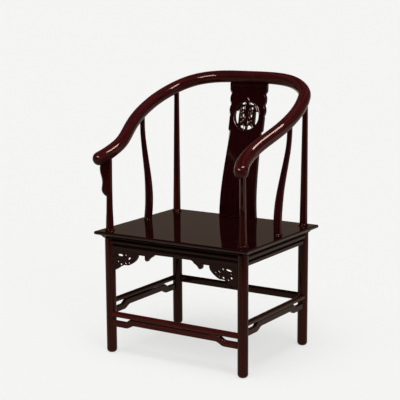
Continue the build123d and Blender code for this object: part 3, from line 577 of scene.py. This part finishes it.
def pendant_edge():
    """Lower edge of the front apron's right half, from the middle out past the pendant."""
    size, t = np.array([PENDANT_W, -PENDANT_DROP]), np.linspace(0, 1, 9)
    runs = [curve(run)(t) if len(run) > 2 else np.array(run) for run in PENDANT_RUNS]
    return np.vstack([[(CROSSING, APRON_Z)]] + [r[1:] * size + [PENDANT_IN, APRON_Z] for r in runs])


for side, (_, span, off) in SIDES.items():
    face, end = -off - APRON_OUT, span - IN_LEG
    if side == "front":
        low = np.vstack([pendant_edge(), [(PENDANT_IN + PENDANT_W, APRON_Z), (end, APRON_Z)]])
    else:
        low = np.array([(CROSSING, APRON_Z), (end, APRON_Z)])
    loop = np.vstack([[(CROSSING, APRON_TOP), (end, APRON_TOP)], low[::-1]])
    board = prism(mirrored_loop(loop), face, face + APRON_BOARD)
    under, over = APRON_TOP + TONGUE_LOW, WAIST_Z + TONGUE_HIGH
    loop = np.array([(CROSSING, over), (end, over), (end, under), (CROSSING, under)])
    tongue = prism(mirrored_loop(loop), face + APRON_NECK_IN, face + APRON_T + TONGUE_BACK)
    points, faces = join(board, tongue)
    # the tongue, down in the recess, gets black painted shade
    shade_mask = np.r_[np.zeros(len(board[0])), np.ones(len(tongue[0]))]
    piece(f"apron_board_{side}", (carried(points, side), faces), apron_wood, f"apron_{side}",
          points / 1000, shade_mask, sharp=50.0, rounded=0.9)
    if side == "front":
        edge = inset(low[1:-2], EDGE_BEAD_IN)
        path = on_face(edge, face)
        beads = [cord(path * [k, 1, 1], FORWARDS, EDGE_BEAD) for k in (1, -1)]
        piece("apron_bead", join(*beads), apron_wood)

# ------------------------------------------------------------------ spandrels
# Two fretwork corner brackets between the front apron and the legs: pierced boards of the part, with the
# scrolls of their tendrils carved round over every piercing and along the free edge.
SPANDREL_IN, SPANDREL_H, SPANDREL_FACE = 148.0, 77.0, -226.0
SPANDREL_HOLES = [
    (0.6, 0.24, 26.0, 8.5, -6.0), (0.42, 0.215, 10.0, 7.0, 0.0), (0.3, 0.35, 17.0, 7.0, -32.0),
    (0.19, 0.415, 9.0, 6.0, 60.0), (0.31, 0.56, 10.0, 6.5, -35.0), (0.43, 0.6, 12.0, 7.5, 10.0),
    (0.585, 0.675, 12.0, 7.0, -25.0), (0.68, 0.57, 11.0, 8.5, 30.0), (0.67, 0.41, 10.0, 6.5, 90.0),
]  # across and down as shares of the bracket, length, width, tilt
SPANDREL_EDGE = [(0.0, 0.15), (0.024, 0.3), (0.071, 0.4), (0.15, 0.51), (0.307, 0.66), (0.36, 0.68),
                 (0.395, 0.645), (0.547, 0.745), (0.764, 0.96), (0.94, 1.06)]  # across and down
SPANDREL_CURLS = [(0.52, 0.42, 7.5, 0.5), (0.8, 0.3, 8.0, 2.0), (0.86, 0.62, 8.0, 3.5), (0.78, 0.8, 6.0, 1.0),
                  (0.15, 0.27, 5.0, 2.6), (0.2, 0.14, 5.5, 5.0)]  # across, down, radius, start angle
TENDRIL, FREE_EDGE_IN = 1.3, 1.5  # radius of a tendril's bead; the free edge to the middle of its bead


def spandrel_point(across, down):
    """Place on the spandrel's face from shares across from its inner end and down from the apron."""
    return np.array([SPANDREL_IN + across * (HX - SPANDREL_IN), APRON_Z - down * SPANDREL_H])


def oval(length, width, tilt):
    """Ellipse about the origin, turned by degrees and closed on itself."""
    a, k = np.linspace(0, 2 * np.pi, 25), math.radians(tilt)
    x, y = length / 2 * np.cos(a), width / 2 * np.sin(a)
    return np.stack([x * math.cos(k) - y * math.sin(k), x * math.sin(k) + y * math.cos(k)], -1)


def curl(radius, start):
    """Spiral that winds in from a radius to a fifth of it in 1.6 turns."""
    t = np.linspace(0, 1, 40)
    r, a = radius * (1 - 0.8 * t), start + 2 * np.pi * 1.6 * t
    return np.stack([r * np.cos(a), r * np.sin(a)], -1)


def tendrils():
    """Beads round every piercing, curls between them and a bead along the free edge of the right spandrel."""
    lines = [oval(long + 2 * TENDRIL, wide + 2 * TENDRIL, tilt) + spandrel_point(across, down)
             for across, down, long, wide, tilt in SPANDREL_HOLES]
    lines += [curl(radius, start) + spandrel_point(across, down)
              for across, down, radius, start in SPANDREL_CURLS]
    edge = curve([spandrel_point(*p) for p in SPANDREL_EDGE])(np.linspace(0, 1, 90))
    lines.append(inset(edge, FREE_EDGE_IN))
    return lines


# the pierced boards stay near black; carved beads are waxed, not polished, and shine softly
fret_wood = lacquered("rosewood_lacquered_fret", "#180605", "#2c0c0a", along=0)
carved = lacquered("rosewood_lacquered_carving", "#1c0706", "#320e0c", gloss=0.16, level=0.25)
for hand, side in (("right", 1), ("left", -1)):
    beads = [cord(on_face(line, SPANDREL_FACE) * [side, 1, 1], FORWARDS, TENDRIL) for line in tendrils()]
    piece(f"tendrils_{hand}", join(*beads), carved)
    nodes[f"spandrel_{hand}"].material_slots[0].material = fret_wood

# ------------------------------------------------------------------ seat frame
# Four mitred members of rosewood with a bull-nosed outer edge and a sloping underside, tenoned at the
# corners; the top is flatted and polished so that it mirrors the back.
OVERHANG, FRAME_W = 40.5, 75.0
NOSE_TOP, NOSE_FLAT, NOSE_UNDER, EDGE_IN, EDGE_STEP = 4.5, 2.5, 6.0, 25.0, 2.5
COVE = 1.6  # hollow of the underside
JOINT = 0.12  # hairline left at a mitre


def seat_section():
    """Frame member's section, (inwards from the outer edge, up): nose, underside, inner edge and top."""
    a = np.linspace(0, np.pi / 2, 9)
    high, low = SEAT - NOSE_TOP, SEAT - NOSE_TOP - NOSE_FLAT
    top = np.stack([NOSE_TOP - NOSE_TOP * np.sin(a), high + NOSE_TOP * np.cos(a)], -1)
    under = np.stack([NOSE_UNDER - NOSE_UNDER * np.cos(a), low - NOSE_UNDER * np.sin(a)], -1)
    t = np.linspace(0, 1, 8)[1:, None]
    start, stop = under[-1], np.array([EDGE_IN, FRAME_Z + EDGE_STEP])
    cove = start + t * (stop - start) + COVE * np.sin(np.pi * t) * [0.4, 1.0]
    rest = [(EDGE_IN, FRAME_Z), (FRAME_W, FRAME_Z), (FRAME_W, SEAT), (NOSE_TOP + 0.4, SEAT)]
    return np.vstack([top, under, cove, rest])


frame_wood = lacquered("rosewood_lacquered_frame", "#130404", "#240707", gloss=0.03, level=0.29)
for side, (_, span, off) in SIDES.items():
    section = seat_section()
    ends = span + OVERHANG - section[:, 0] - JOINT
    points, faces = extruded(section + [-off - OVERHANG, 0], ends)
    # the face of the recess under the nose gets black painted shade
    shade_mask = (np.abs(points[:, 1] + off + OVERHANG - EDGE_IN) < NEAR) * 1.0
    piece(f"frame_{side}", (carried(points, side), faces), frame_wood, f"seat_rail_{side}",
          points / 1000, shade_mask)

# ------------------------------------------------------------------ seat panel, battens and pegs
# The flush panel is one wide board with its grain across the chair, polished like the frame. Under it the two
# battens and the corner pegs have one coat of oil and no polish; the crest rail's pins are hidden inside it.
panel_wood = lacquered("rosewood_lacquered_panel", "#130404", "#220707", along=0, gloss=0.03, level=0.29)
nodes["seat_panel"].material_slots[0].material = panel_wood
batten_wood = lacquered("rosewood_oiled", "#2a120c", "#47221a", along=1, gloss=0.45)
for name in ("seat_batten_left", "seat_batten_right", "frame_pegs", "crest_pin_centre", "crest_pin_left",
             "crest_pin_right"):
    nodes[name].material_slots[0].material = batten_wood

# ------------------------------------------------------------------ splat
# One wide board sawn to an S and tenoned into seat and rail. Its scalloped edges, the ring of its pierced
# medallion and the medallion's scrolls are carved as round beads; a flat moulding crosses its head.
RISE = 520.5
SPLAT_CURVE = [(0.969, 0.0), (0.968, 0.104), (0.993, 0.2), (1.036, 0.296), (1.09, 0.391), (1.149, 0.487),
               (1.208, 0.582), (1.263, 0.678), (1.307, 0.773), (1.338, 0.868), (1.356, 0.96)]
FOOT_W, WAIST_W, BAND_W, HEAD_W, HEAD_Z = 158.0, 133.0, 146.0, 157.5, 946.0
LOBE_H, LOBE_OUT, LOBE_DIP, SHOULDER_H, HEAD_STEP_H = 41.0, 5.5, 2.0, 10.0, 18.0
MEDALLION_Z, MEDALLION_R, RING_W = 826.5, 52.0, 6.0
RING_BEAD, EDGE_CORD, SCROLL_BEAD = 3.5, 1.5, 1.7  # radii
EDGE_CORD_IN = 2.6
MOULDING_Z, MOULDING_H, MOULDING_OUT = 941.0, 9.0, 1.8
FOOT_BEAD = 2.6
MOULDING_SHORT, MOULDING_SUNK = 0.2, 2.0  # of the board's edge at each end, and into its face
SHOULDER_BULGE, HEAD_BULGE = (0.66, 0.29), (0.72, 0.39)  # middle of each arc: shares of its step out and up
SCROLLS = [
    (40, [(0.13, -0.98), (0.17, -0.6), (0.1, -0.25), (0.15, 0.1), (0.12, 0.4), (0.2, 0.7)]),
    (30, [(0.58, -0.62), (0.55, -0.2), (0.58, 0.2), (0.66, 0.42)]),
    (30, [(0.12, 0.98), (0.25, 0.8), (0.5, 0.78), (0.74, 0.6), (0.82, 0.42)]),
    (24, [(0.15, -0.62), (0.32, -0.52), (0.5, -0.6), (0.62, -0.78)]),
]  # points along each bead of the medallion's right half, and its knots in shares of the radius
SCROLL_CURLS = [(0.15, 2.2, 0.33, -0.36), (0.12, 0.4, 0.36, 0.27)]  # radius, start angle, across, up
EYELETS = [(0.3, 0.26, 0.37, 0.54), (0.27, 0.34, 0.33, 0.0)]  # length, width, across, up
LEAF = [(6.5, -1.0), (3.2, 3.5), (0.0, 9.0)]  # leaf above the ring: across, and up from the ring's outer edge
FACE_TURN = math.radians(25)  # a face turned further than this from the board's curve is an edge

splat_line = curve([(HY * y, SEAT + RISE * z) for y, z in SPLAT_CURVE])(np.linspace(0, 1, 400))
splat_slope = np.gradient(splat_line[:, 0], splat_line[:, 1])


def on_splat(flat):
    """Points (x, z) laid on the splat's front face: y is read from the board's side curve at height z."""
    x, z = np.asarray(flat, float).T
    return np.stack([x, np.interp(z, splat_line[:, 1], splat_line[:, 0]), z], -1)


def polished_board(node, name, stuff):
    """Merged copy of a curved board of the part, its broad faces shaded by the curve they follow.

    The corners of every face that lies along the curve, front or back, take the curve's own normal.
    """
    mesh = nodes[node].data.copy()
    work = bmesh.new()
    work.from_mesh(mesh)
    bmesh.ops.remove_doubles(work, verts=work.verts, dist=1e-6)
    work.to_mesh(mesh)
    work.free()
    mesh.shade_smooth()
    mesh.set_sharp_from_angle(angle=FACE_TURN)
    corners = np.empty(len(mesh.loops), "i")
    mesh.loops.foreach_get("vertex_index", corners)
    points = np.empty(len(mesh.vertices) * 3, "f")
    mesh.vertices.foreach_get("co", points)
    normals = np.empty(len(mesh.loops) * 3, "f")
    mesh.corner_normals.foreach_get("vector", normals)
    normals = normals.reshape(-1, 3)
    z = points.reshape(-1, 3)[corners, 2] * 1000
    slope = np.interp(z, splat_line[:, 1], splat_slope)
    front = np.stack([0 * slope, 0 * slope - 1, slope], -1) / np.sqrt(1 + slope**2)[:, None]
    flat = np.repeat([p.normal for p in mesh.polygons], [p.loop_total for p in mesh.polygons], axis=0)
    along = (flat * front).sum(1)[:, None]
    normals = np.where(np.abs(along) > math.cos(FACE_TURN), front * np.sign(along), normals)
    mesh.normals_split_custom_set(normals.tolist())
    mesh.materials.clear()
    mesh.materials.append(stuff)
    made = bpy.data.objects.new(name, mesh)
    bpy.context.collection.objects.link(made)
    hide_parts(node)
    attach(made, "root")


def arc(start, through, end, count=9):
    """Circle from start to end through a third point: its middle is equally far from all three."""
    a, b, c = (np.array(p, float) for p in (start, through, end))
    rows = 2 * np.array([b - a, c - a])
    middle = np.linalg.solve(rows, [b @ b - a @ a, c @ c - a @ a])
    turns = np.unwrap([math.atan2(*(p - middle)[::-1]) for p in (a, b, c)])
    angles = np.linspace(turns[0], turns[2], count)[:, None]
    return middle + np.linalg.norm(a - middle) * np.hstack([np.cos(angles), np.sin(angles)])


def splat_edge():
    """Right edge of the splat from its foot to its head, with the scallops beside the medallion."""
    foot, waist, band, head = FOOT_W / 2, WAIST_W / 2, BAND_W / 2, HEAD_W / 2
    dip, shoulder = band - LOBE_DIP, MEDALLION_Z - MEDALLION_R - RING_W
    cusps = [MEDALLION_Z + k * LOBE_H for k in (0, 1, 2)]
    up, out = np.linspace(SEAT + 1, shoulder - LOBE_H, 40), np.linspace(foot, waist, 40)
    runs = [np.stack([out, up], -1), [(waist, shoulder)]]
    share_out, share_up = SHOULDER_BULGE
    bulge = (waist + share_out * (band - waist), shoulder + share_up * SHOULDER_H)
    runs.append(arc((waist, shoulder), bulge, (band, shoulder + SHOULDER_H)))
    runs.append([(band, cusps[0] - 2 * LOBE_DIP)])
    for low, high in zip(cusps, cusps[1:]):
        runs.append(arc((dip, low), (dip + LOBE_OUT, (low + high) / 2), (dip, high), 13))
    share_out, share_up = HEAD_BULGE
    bulge = (dip + share_out * (head - dip), cusps[-1] + share_up * HEAD_STEP_H)
    runs += [arc((dip, cusps[-1]), bulge, (head, cusps[-1] + HEAD_STEP_H)), [(head, HEAD_Z)]]
    return np.vstack(runs)


def scrollwork():
    """Beads of the medallion's right half, in shares of its radius: stem, scrolls, curls and eyelets."""
    lines = [curve(knots)(np.linspace(0, 1, count)) for count, knots in SCROLLS]
    lines += [curl(radius, start) + place for radius, start, *place in SCROLL_CURLS]
    lines += [oval(long, wide, 0) + place for long, wide, *place in EYELETS]
    return [line * MEDALLION_R + [0, MEDALLION_Z] for line in lines]


def ring_line(radius):
    """Full circle about the medallion's middle."""
    a = np.linspace(0, 2 * np.pi, 97)
    return np.stack([radius * np.sin(a), MEDALLION_Z + radius * np.cos(a)], -1)


# rubbed back further than the rest, which leaves a soft sheen on the broad face
splat_wood = lacquered("rosewood_lacquered_splat", "#1e0407", "#2e080b", along=2, gloss=0.09)
polished_board("splat", "splat_board", splat_wood)
mirror_x = [1, 1, 1], [-1, 1, 1]
medallion = [cord(on_splat(ring_line(MEDALLION_R + RING_W / 2)), FORWARDS, RING_BEAD, 12)]
medallion += [cord(on_splat(line) * k, FORWARDS, SCROLL_BEAD) for line in scrollwork() for k in mirror_x]
leaf = curve(np.array(LEAF) + [0, MEDALLION_Z + MEDALLION_R + RING_W])(np.linspace(0, 1, 12))
medallion += [cord(on_splat(leaf) * k, FORWARDS, SCROLL_BEAD) for k in mirror_x]
piece("medallion_carving", join(*medallion), carved)
edging = inset(splat_edge(), EDGE_CORD_IN)
edges = [cord(on_splat(edging) * k, FORWARDS, EDGE_CORD) for k in mirror_x]
piece("splat_edge_beads", join(*edges), splat_wood)


def moulding(z, height, out, half):
    """Flat half-oval strip across the splat's face."""
    a = np.linspace(0, np.pi, 13)
    face = on_splat(np.column_stack([np.zeros(13), z - height / 2 * np.cos(a)]))[:, 1:]
    front = face - np.column_stack([out * np.sin(a), 0 * a])
    section = np.vstack([front, face[[-1, 0]] + [MOULDING_SUNK, 0.0]])
    return extruded(section, half)


head_strip = moulding(MOULDING_Z, MOULDING_H, MOULDING_OUT, HEAD_W / 2 - MOULDING_SHORT)
piece("splat_head_moulding", head_strip, splat_wood)
foot_strip = moulding(SEAT + FOOT_BEAD, 2 * FOOT_BEAD, FOOT_BEAD, FOOT_W / 2)
piece("splat_foot_bead", foot_strip, splat_wood)

# ------------------------------------------------------------------ side posts
# Two slender S-curved posts from the side seat rails to the arms, rounded by hand and tenoned at both ends,
# with a small turned ring where they stand on the seat.
SIDE_POST_SHAPE = [(1.004, 0.103, 0.0, 0.0), (0.993, 0.119, 0.13, 0.0), (0.999, 0.134, 0.26, 0.07),
                   (1.02, 0.148, 0.39, 0.36), (1.053, 0.161, 0.525, 0.62), (1.088, 0.174, 0.66, 0.84),
                   (1.115, 0.185, 0.79, 1.0), (1.124, 0.196, 1.0, 1.0)]  # across, back, up, thinning
SIDE_POST_FOOT_R, SIDE_POST_TOP_R, SIDE_HEAD_Z = 15.0, 9.4, 851.2
SHAPED = 40  # corners of a side post's round section
SIDE_RING = [
    (12.0, -2.0), (16.0, -0.5), (16.5, 0.8), (16.4, 2.2), (15.6, 3.3), (14.6, 3.9), (14.4, 4.4),
]  # radius, and height above the seat


def side_post():
    """Level circles on the post's curved middle line, above the ring's turned profile."""
    shape = np.array(SIDE_POST_SHAPE)
    radius = SIDE_POST_FOOT_R - (SIDE_POST_FOOT_R - SIDE_POST_TOP_R) * shape[:, 3]
    up = SEAT + (SIDE_HEAD_Z - SEAT) * shape[:, 2]
    knots = np.column_stack([HX * shape[:, 0], HY * shape[:, 1], up, radius])
    shaft = curve(knots)(np.linspace(0, 1, 90))
    shaft = shaft[shaft[:, 2] > SEAT + SIDE_RING[-1][1]]
    foot = np.array([(knots[0, 0], knots[0, 1], SEAT + z, r) for r, z in SIDE_RING])
    x, y, z, r = np.vstack([foot, shaft]).T
    rings = np.repeat(np.stack([x, y, z], -1)[:, None, :], SHAPED, axis=1)
    rings[..., :2] += r[:, None, None] * ring(SHAPED)
    return skin(rings)


# the same polish as the legs, a little redder
side_wood = lacquered("rosewood_lacquered_posts", "#270709", "#3c0e11")
for hand, side in (("left", -1), ("right", 1)):
    points, faces = side_post()
    piece(f"curved_post_{hand}", (points * [side, 1, 1], faces), side_wood, f"side_post_{hand}",
          grained(points, 2) + side)

# ------------------------------------------------------------------ arm brackets
# Scrolled boards under the hand grips, tongued into the front posts and turned outwards with the grips; all
# their edges are rounded over.
BRACKET_T, BRACKET_OUT, BRACKET_H, BRACKET_LOW, BRACKET_TURN = 12.0, 35.6, 120.0, 157.5, 28.0
BRACKET_SHAPE = [
    (0.26, 0), (0.46, 0.045), (0.82, 0.2), (0.77, 0.39), (0.8, 0.575), (0.95, 0.75), (1, 0.92),
]  # free edge: out and up, in shares of the board
BRACKET_TOP_IN, BRACKET_SUNK = 0.8, 6.0  # its top is cut back to this share, this far below the post's head
BRACKET_FROM = 1.0  # from the post's middle to the inner edge


def bracket():
    """Board standing on the post's axis: its free edge is a spline, its inner edge lies inside the post."""
    low = FRONT_HEAD[2] - BRACKET_LOW
    size = np.array([BRACKET_OUT, BRACKET_H])
    edge = curve(np.array(BRACKET_SHAPE) * size + [0, low])(np.linspace(0, 1, 60))
    top = FRONT_HEAD[2] - BRACKET_SUNK
    out = BRACKET_TOP_IN * BRACKET_OUT
    rest = [(out, low + BRACKET_H), (out, top), (BRACKET_FROM, top), (BRACKET_FROM, low)]
    points, faces = prism(np.vstack([edge, rest]), -BRACKET_T / 2, BRACKET_T / 2)
    out, aside, z = points.T
    a = math.radians(BRACKET_TURN)
    x = FRONT_HEAD[0] + out * math.sin(a) + aside * math.cos(a)
    y = FRONT_HEAD[1] - out * math.cos(a) + aside * math.sin(a)
    return np.stack([x, y, z], -1), faces


for hand, side in (("left", -1), ("right", 1)):
    points, faces = bracket()
    piece(f"scrolled_bracket_{hand}", (points * [side, 1, 1], faces), side_wood,
          f"arm_bracket_{hand}", grained(points, 2) - side, sharp=40.0, rounded=3.0)

# ------------------------------------------------------------------ crest rail
# Four lengths of rosewood bent in plan, half-lapped and pinned, worked round to an oval behind and a circle
# along the arms, with grips that turn outwards over a cut roll. It is stained lighter than the seat.
RAIL_SHAPE = [
    (0.0, 1.403, 1.0), (0.2, 1.4, 1.0), (0.389, 1.384, 0.998), (0.575, 1.343, 0.991), (0.745, 1.259, 0.976),
    (0.888, 1.139, 0.951), (0.998, 0.991, 0.918), (1.066, 0.787, 0.881), (1.109, 0.568, 0.841),
    (1.127, 0.346, 0.799), (1.122, 0.123, 0.757), (1.095, -0.097, 0.715), (1.049, -0.313, 0.673),
    (0.998, -0.524, 0.629), (0.971, -0.718, 0.588), (0.98, -0.903, 0.553), (1.011, -1.06, 0.523),
    (1.049, -1.16, 0.502),
]  # across, back and up, in shares of half the spans and the rise
RAIL_BACK_T, RAIL_BACK_H, ARM_D, GRIP_D, LAP, LAP_AHEAD = 38.0, 45.0, 46.0, 49.0, 46.0, 52.0
ROLL_FROM, ROLL_EASE, ROLL_UP, ROLL_WIDE, ROLL_DEEP = 0.93, 0.03, 0.2, 0.11, 1.7  # the grip's cut
ARM_FROM, GRIP_FROM = 0.5, 0.8  # shares of a half rail from which it is round, and from which it swells
PER_RAIL, LAPPED, DOME, AROUND = 220, 12, 15, 56  # stations along it, a lap and a dome; corners round it
DOME_TURN = 0.985  # share of a quarter turn at which a dome's last ring lies
HAIRLINE = 0.1  # from a lap's level to the flat of each half

right_half = np.array(RAIL_SHAPE) * [HX, HY, RISE] + [0, 0, SEAT]
rail = curve(np.vstack([right_half[:0:-1] * [-1, 1, 1], right_half]))


def unit(v):
    """Each row at length 1."""
    return v / np.linalg.norm(v, axis=-1, keepdims=True)


def rail_frames(t):
    """Middle, across, up and along at shares of the rail: across lies level, up is square to both."""
    t = np.atleast_1d(t)
    along = unit(rail(np.minimum(t + 1e-4, 1)) - rail(np.maximum(t - 1e-4, 0)))
    across = unit(np.cross([0, 0, 1.0], along))
    return rail(t), across, np.cross(along, across), along


def smooth_step(k):
    """Eased ramp from 0 to 1."""
    k = np.clip(k, 0, 1)
    return k * k * (3 - 2 * k)


def arm_share(y):
    """Share of the rail at which the right arm passes a given place front to back."""
    t = np.linspace(0.5, 1, 4001)
    return np.interp(-y, -rail(t)[:, 1], t)


def past(t0, distance):
    """Share of the rail that lies a distance further on from t0."""
    t = np.linspace(t0, min(1, t0 + 0.1), 400)
    run = np.r_[0, np.cumsum(np.linalg.norm(np.diff(rail(t), axis=0), axis=1))]
    return np.interp(distance, run, t)


def rail_rings(t, shrink, ahead):
    """Oval rings square to the rail, scaled and moved on ahead for the domed ends.

    Half the width goes from the back's to the arm's by an eased ramp and swells again towards the grip; a dip
    runs along both sides of the grip where its roll is cut; its depth, as a share, is also returned for
    painted shade.
    """
    middle, across, up, along = rail_frames(t)
    off = np.abs(2 * t - 1)
    arm, grip = smooth_step(off / ARM_FROM), np.clip((off - GRIP_FROM) / (1 - GRIP_FROM), 0, None)
    wide = (RAIL_BACK_T + (ARM_D - RAIL_BACK_T) * arm + (GRIP_D - ARM_D) * grip) / 2
    tall = (RAIL_BACK_H + (ARM_D - RAIL_BACK_H) * arm + (GRIP_D - ARM_D) * grip) / 2
    c, s = ring(AROUND).T
    eased = smooth_step((off - ROLL_FROM) / ROLL_EASE)[:, None]
    cut = ROLL_DEEP * eased * np.exp(-(((s + ROLL_UP) / ROLL_WIDE) ** 2))
    shape = shrink[:, None]
    place = middle + along * ahead[:, None]
    rings = (place[:, None] + across[:, None] * ((wide[:, None] - cut) * c * shape)[..., None]
             + up[:, None] * ((tall[:, None] - cut) * s * shape)[..., None])
    return rings, cut / ROLL_DEEP


def clamped(rings, stations, share, keep):
    """Rings of a lap with the missing half pressed flat onto the joint's own level at a share of the rail."""
    origin, _, up, _ = (v[0] for v in rail_frames(share))
    high = (rings[stations] - origin) @ up
    press = np.minimum(high, -HAIRLINE) - high if keep < 0 else np.maximum(high, HAIRLINE) - high
    rings[stations] += press[..., None] * up
    return rings


def rail_length(name, low, high, node, ends):
    """One length of the rail between two shares; ends say which half each end's lap keeps, or a dome."""
    t = [np.linspace(low[-1], high[0], 2 + int(PER_RAIL * (high[0] - low[-1])))]
    if len(low) > 1:
        t.insert(0, np.linspace(low[0], low[1], LAPPED))
    if len(high) > 1:
        t.append(np.linspace(high[0], high[1], LAPPED))
    t = np.concatenate(t)
    shrink, ahead = np.ones_like(t), np.zeros_like(t)
    a = np.linspace(0, np.pi / 2, DOME + 1)[1:] * DOME_TURN
    dome = GRIP_D / 2 * np.sin(a)
    if ends[1] == "grip":
        t = np.r_[t, np.full(DOME, high[-1])]
        shrink, ahead = np.r_[shrink, np.cos(a)], np.r_[ahead, dome]
    if ends[0] == "grip":
        t = np.r_[np.full(DOME, low[0]), t]
        shrink, ahead = np.r_[np.cos(a)[::-1], shrink], np.r_[-dome[::-1], ahead]
    rings, cut = rail_rings(t, shrink, ahead)
    if ends[0] != "grip":
        rings = clamped(rings, slice(0, LAPPED), low[0] if ends[2] else low[1], ends[0])
    if ends[1] != "grip":
        rings = clamped(rings, slice(len(t) - LAPPED, len(t)), high[0] if ends[3] else high[1], ends[1])
    points, faces = skin(rings)
    run = np.r_[0, np.cumsum(np.linalg.norm(np.diff(rings.mean(1), axis=0), axis=1))] / 1000
    c, s = ring(AROUND).T * ARM_D / 2000
    flat = np.stack(np.broadcast_arrays(run[:, None], c, s), -1).reshape(-1, 3)
    flat = np.vstack([flat, [(run[0], 0, 0), (run[-1], 0, 0)]])
    # the cut along the grip gets dark painted shade, deepest where the cut is deepest
    shade_mask = np.r_[np.broadcast_to(cut, rings.shape[:2]).ravel(), 0, 0]
    piece(name, (points, faces), rail_wood, node, flat + low[0], shade_mask, sharp=40.0)


# a warmer and lighter brown than the seat's, polished until a long line of light runs down each arm
rail_wood = lacquered("rosewood_lacquered_rail", "#2f0d0e", "#4c1819", gloss=0.045)
middle_lap = (0.5, past(0.5, LAP))
start = arm_share(REAR_HEAD[1] - LAP_AHEAD)
right_lap = (start, past(start, LAP))
left_lap = (1 - right_lap[1], 1 - right_lap[0])
rail_length("rail_back_right", middle_lap, right_lap, "crest_back_right", (-1, 1, True, True))
rail_length("rail_back_left", left_lap, middle_lap, "crest_back_left", (1, 1, False, True))
rail_length("rail_arm_right", right_lap, (1.0,), "arm_right", (-1, "grip", True, True))
rail_length("rail_arm_left", (0.0,), left_lap, "arm_left", ("grip", -1, True, False))
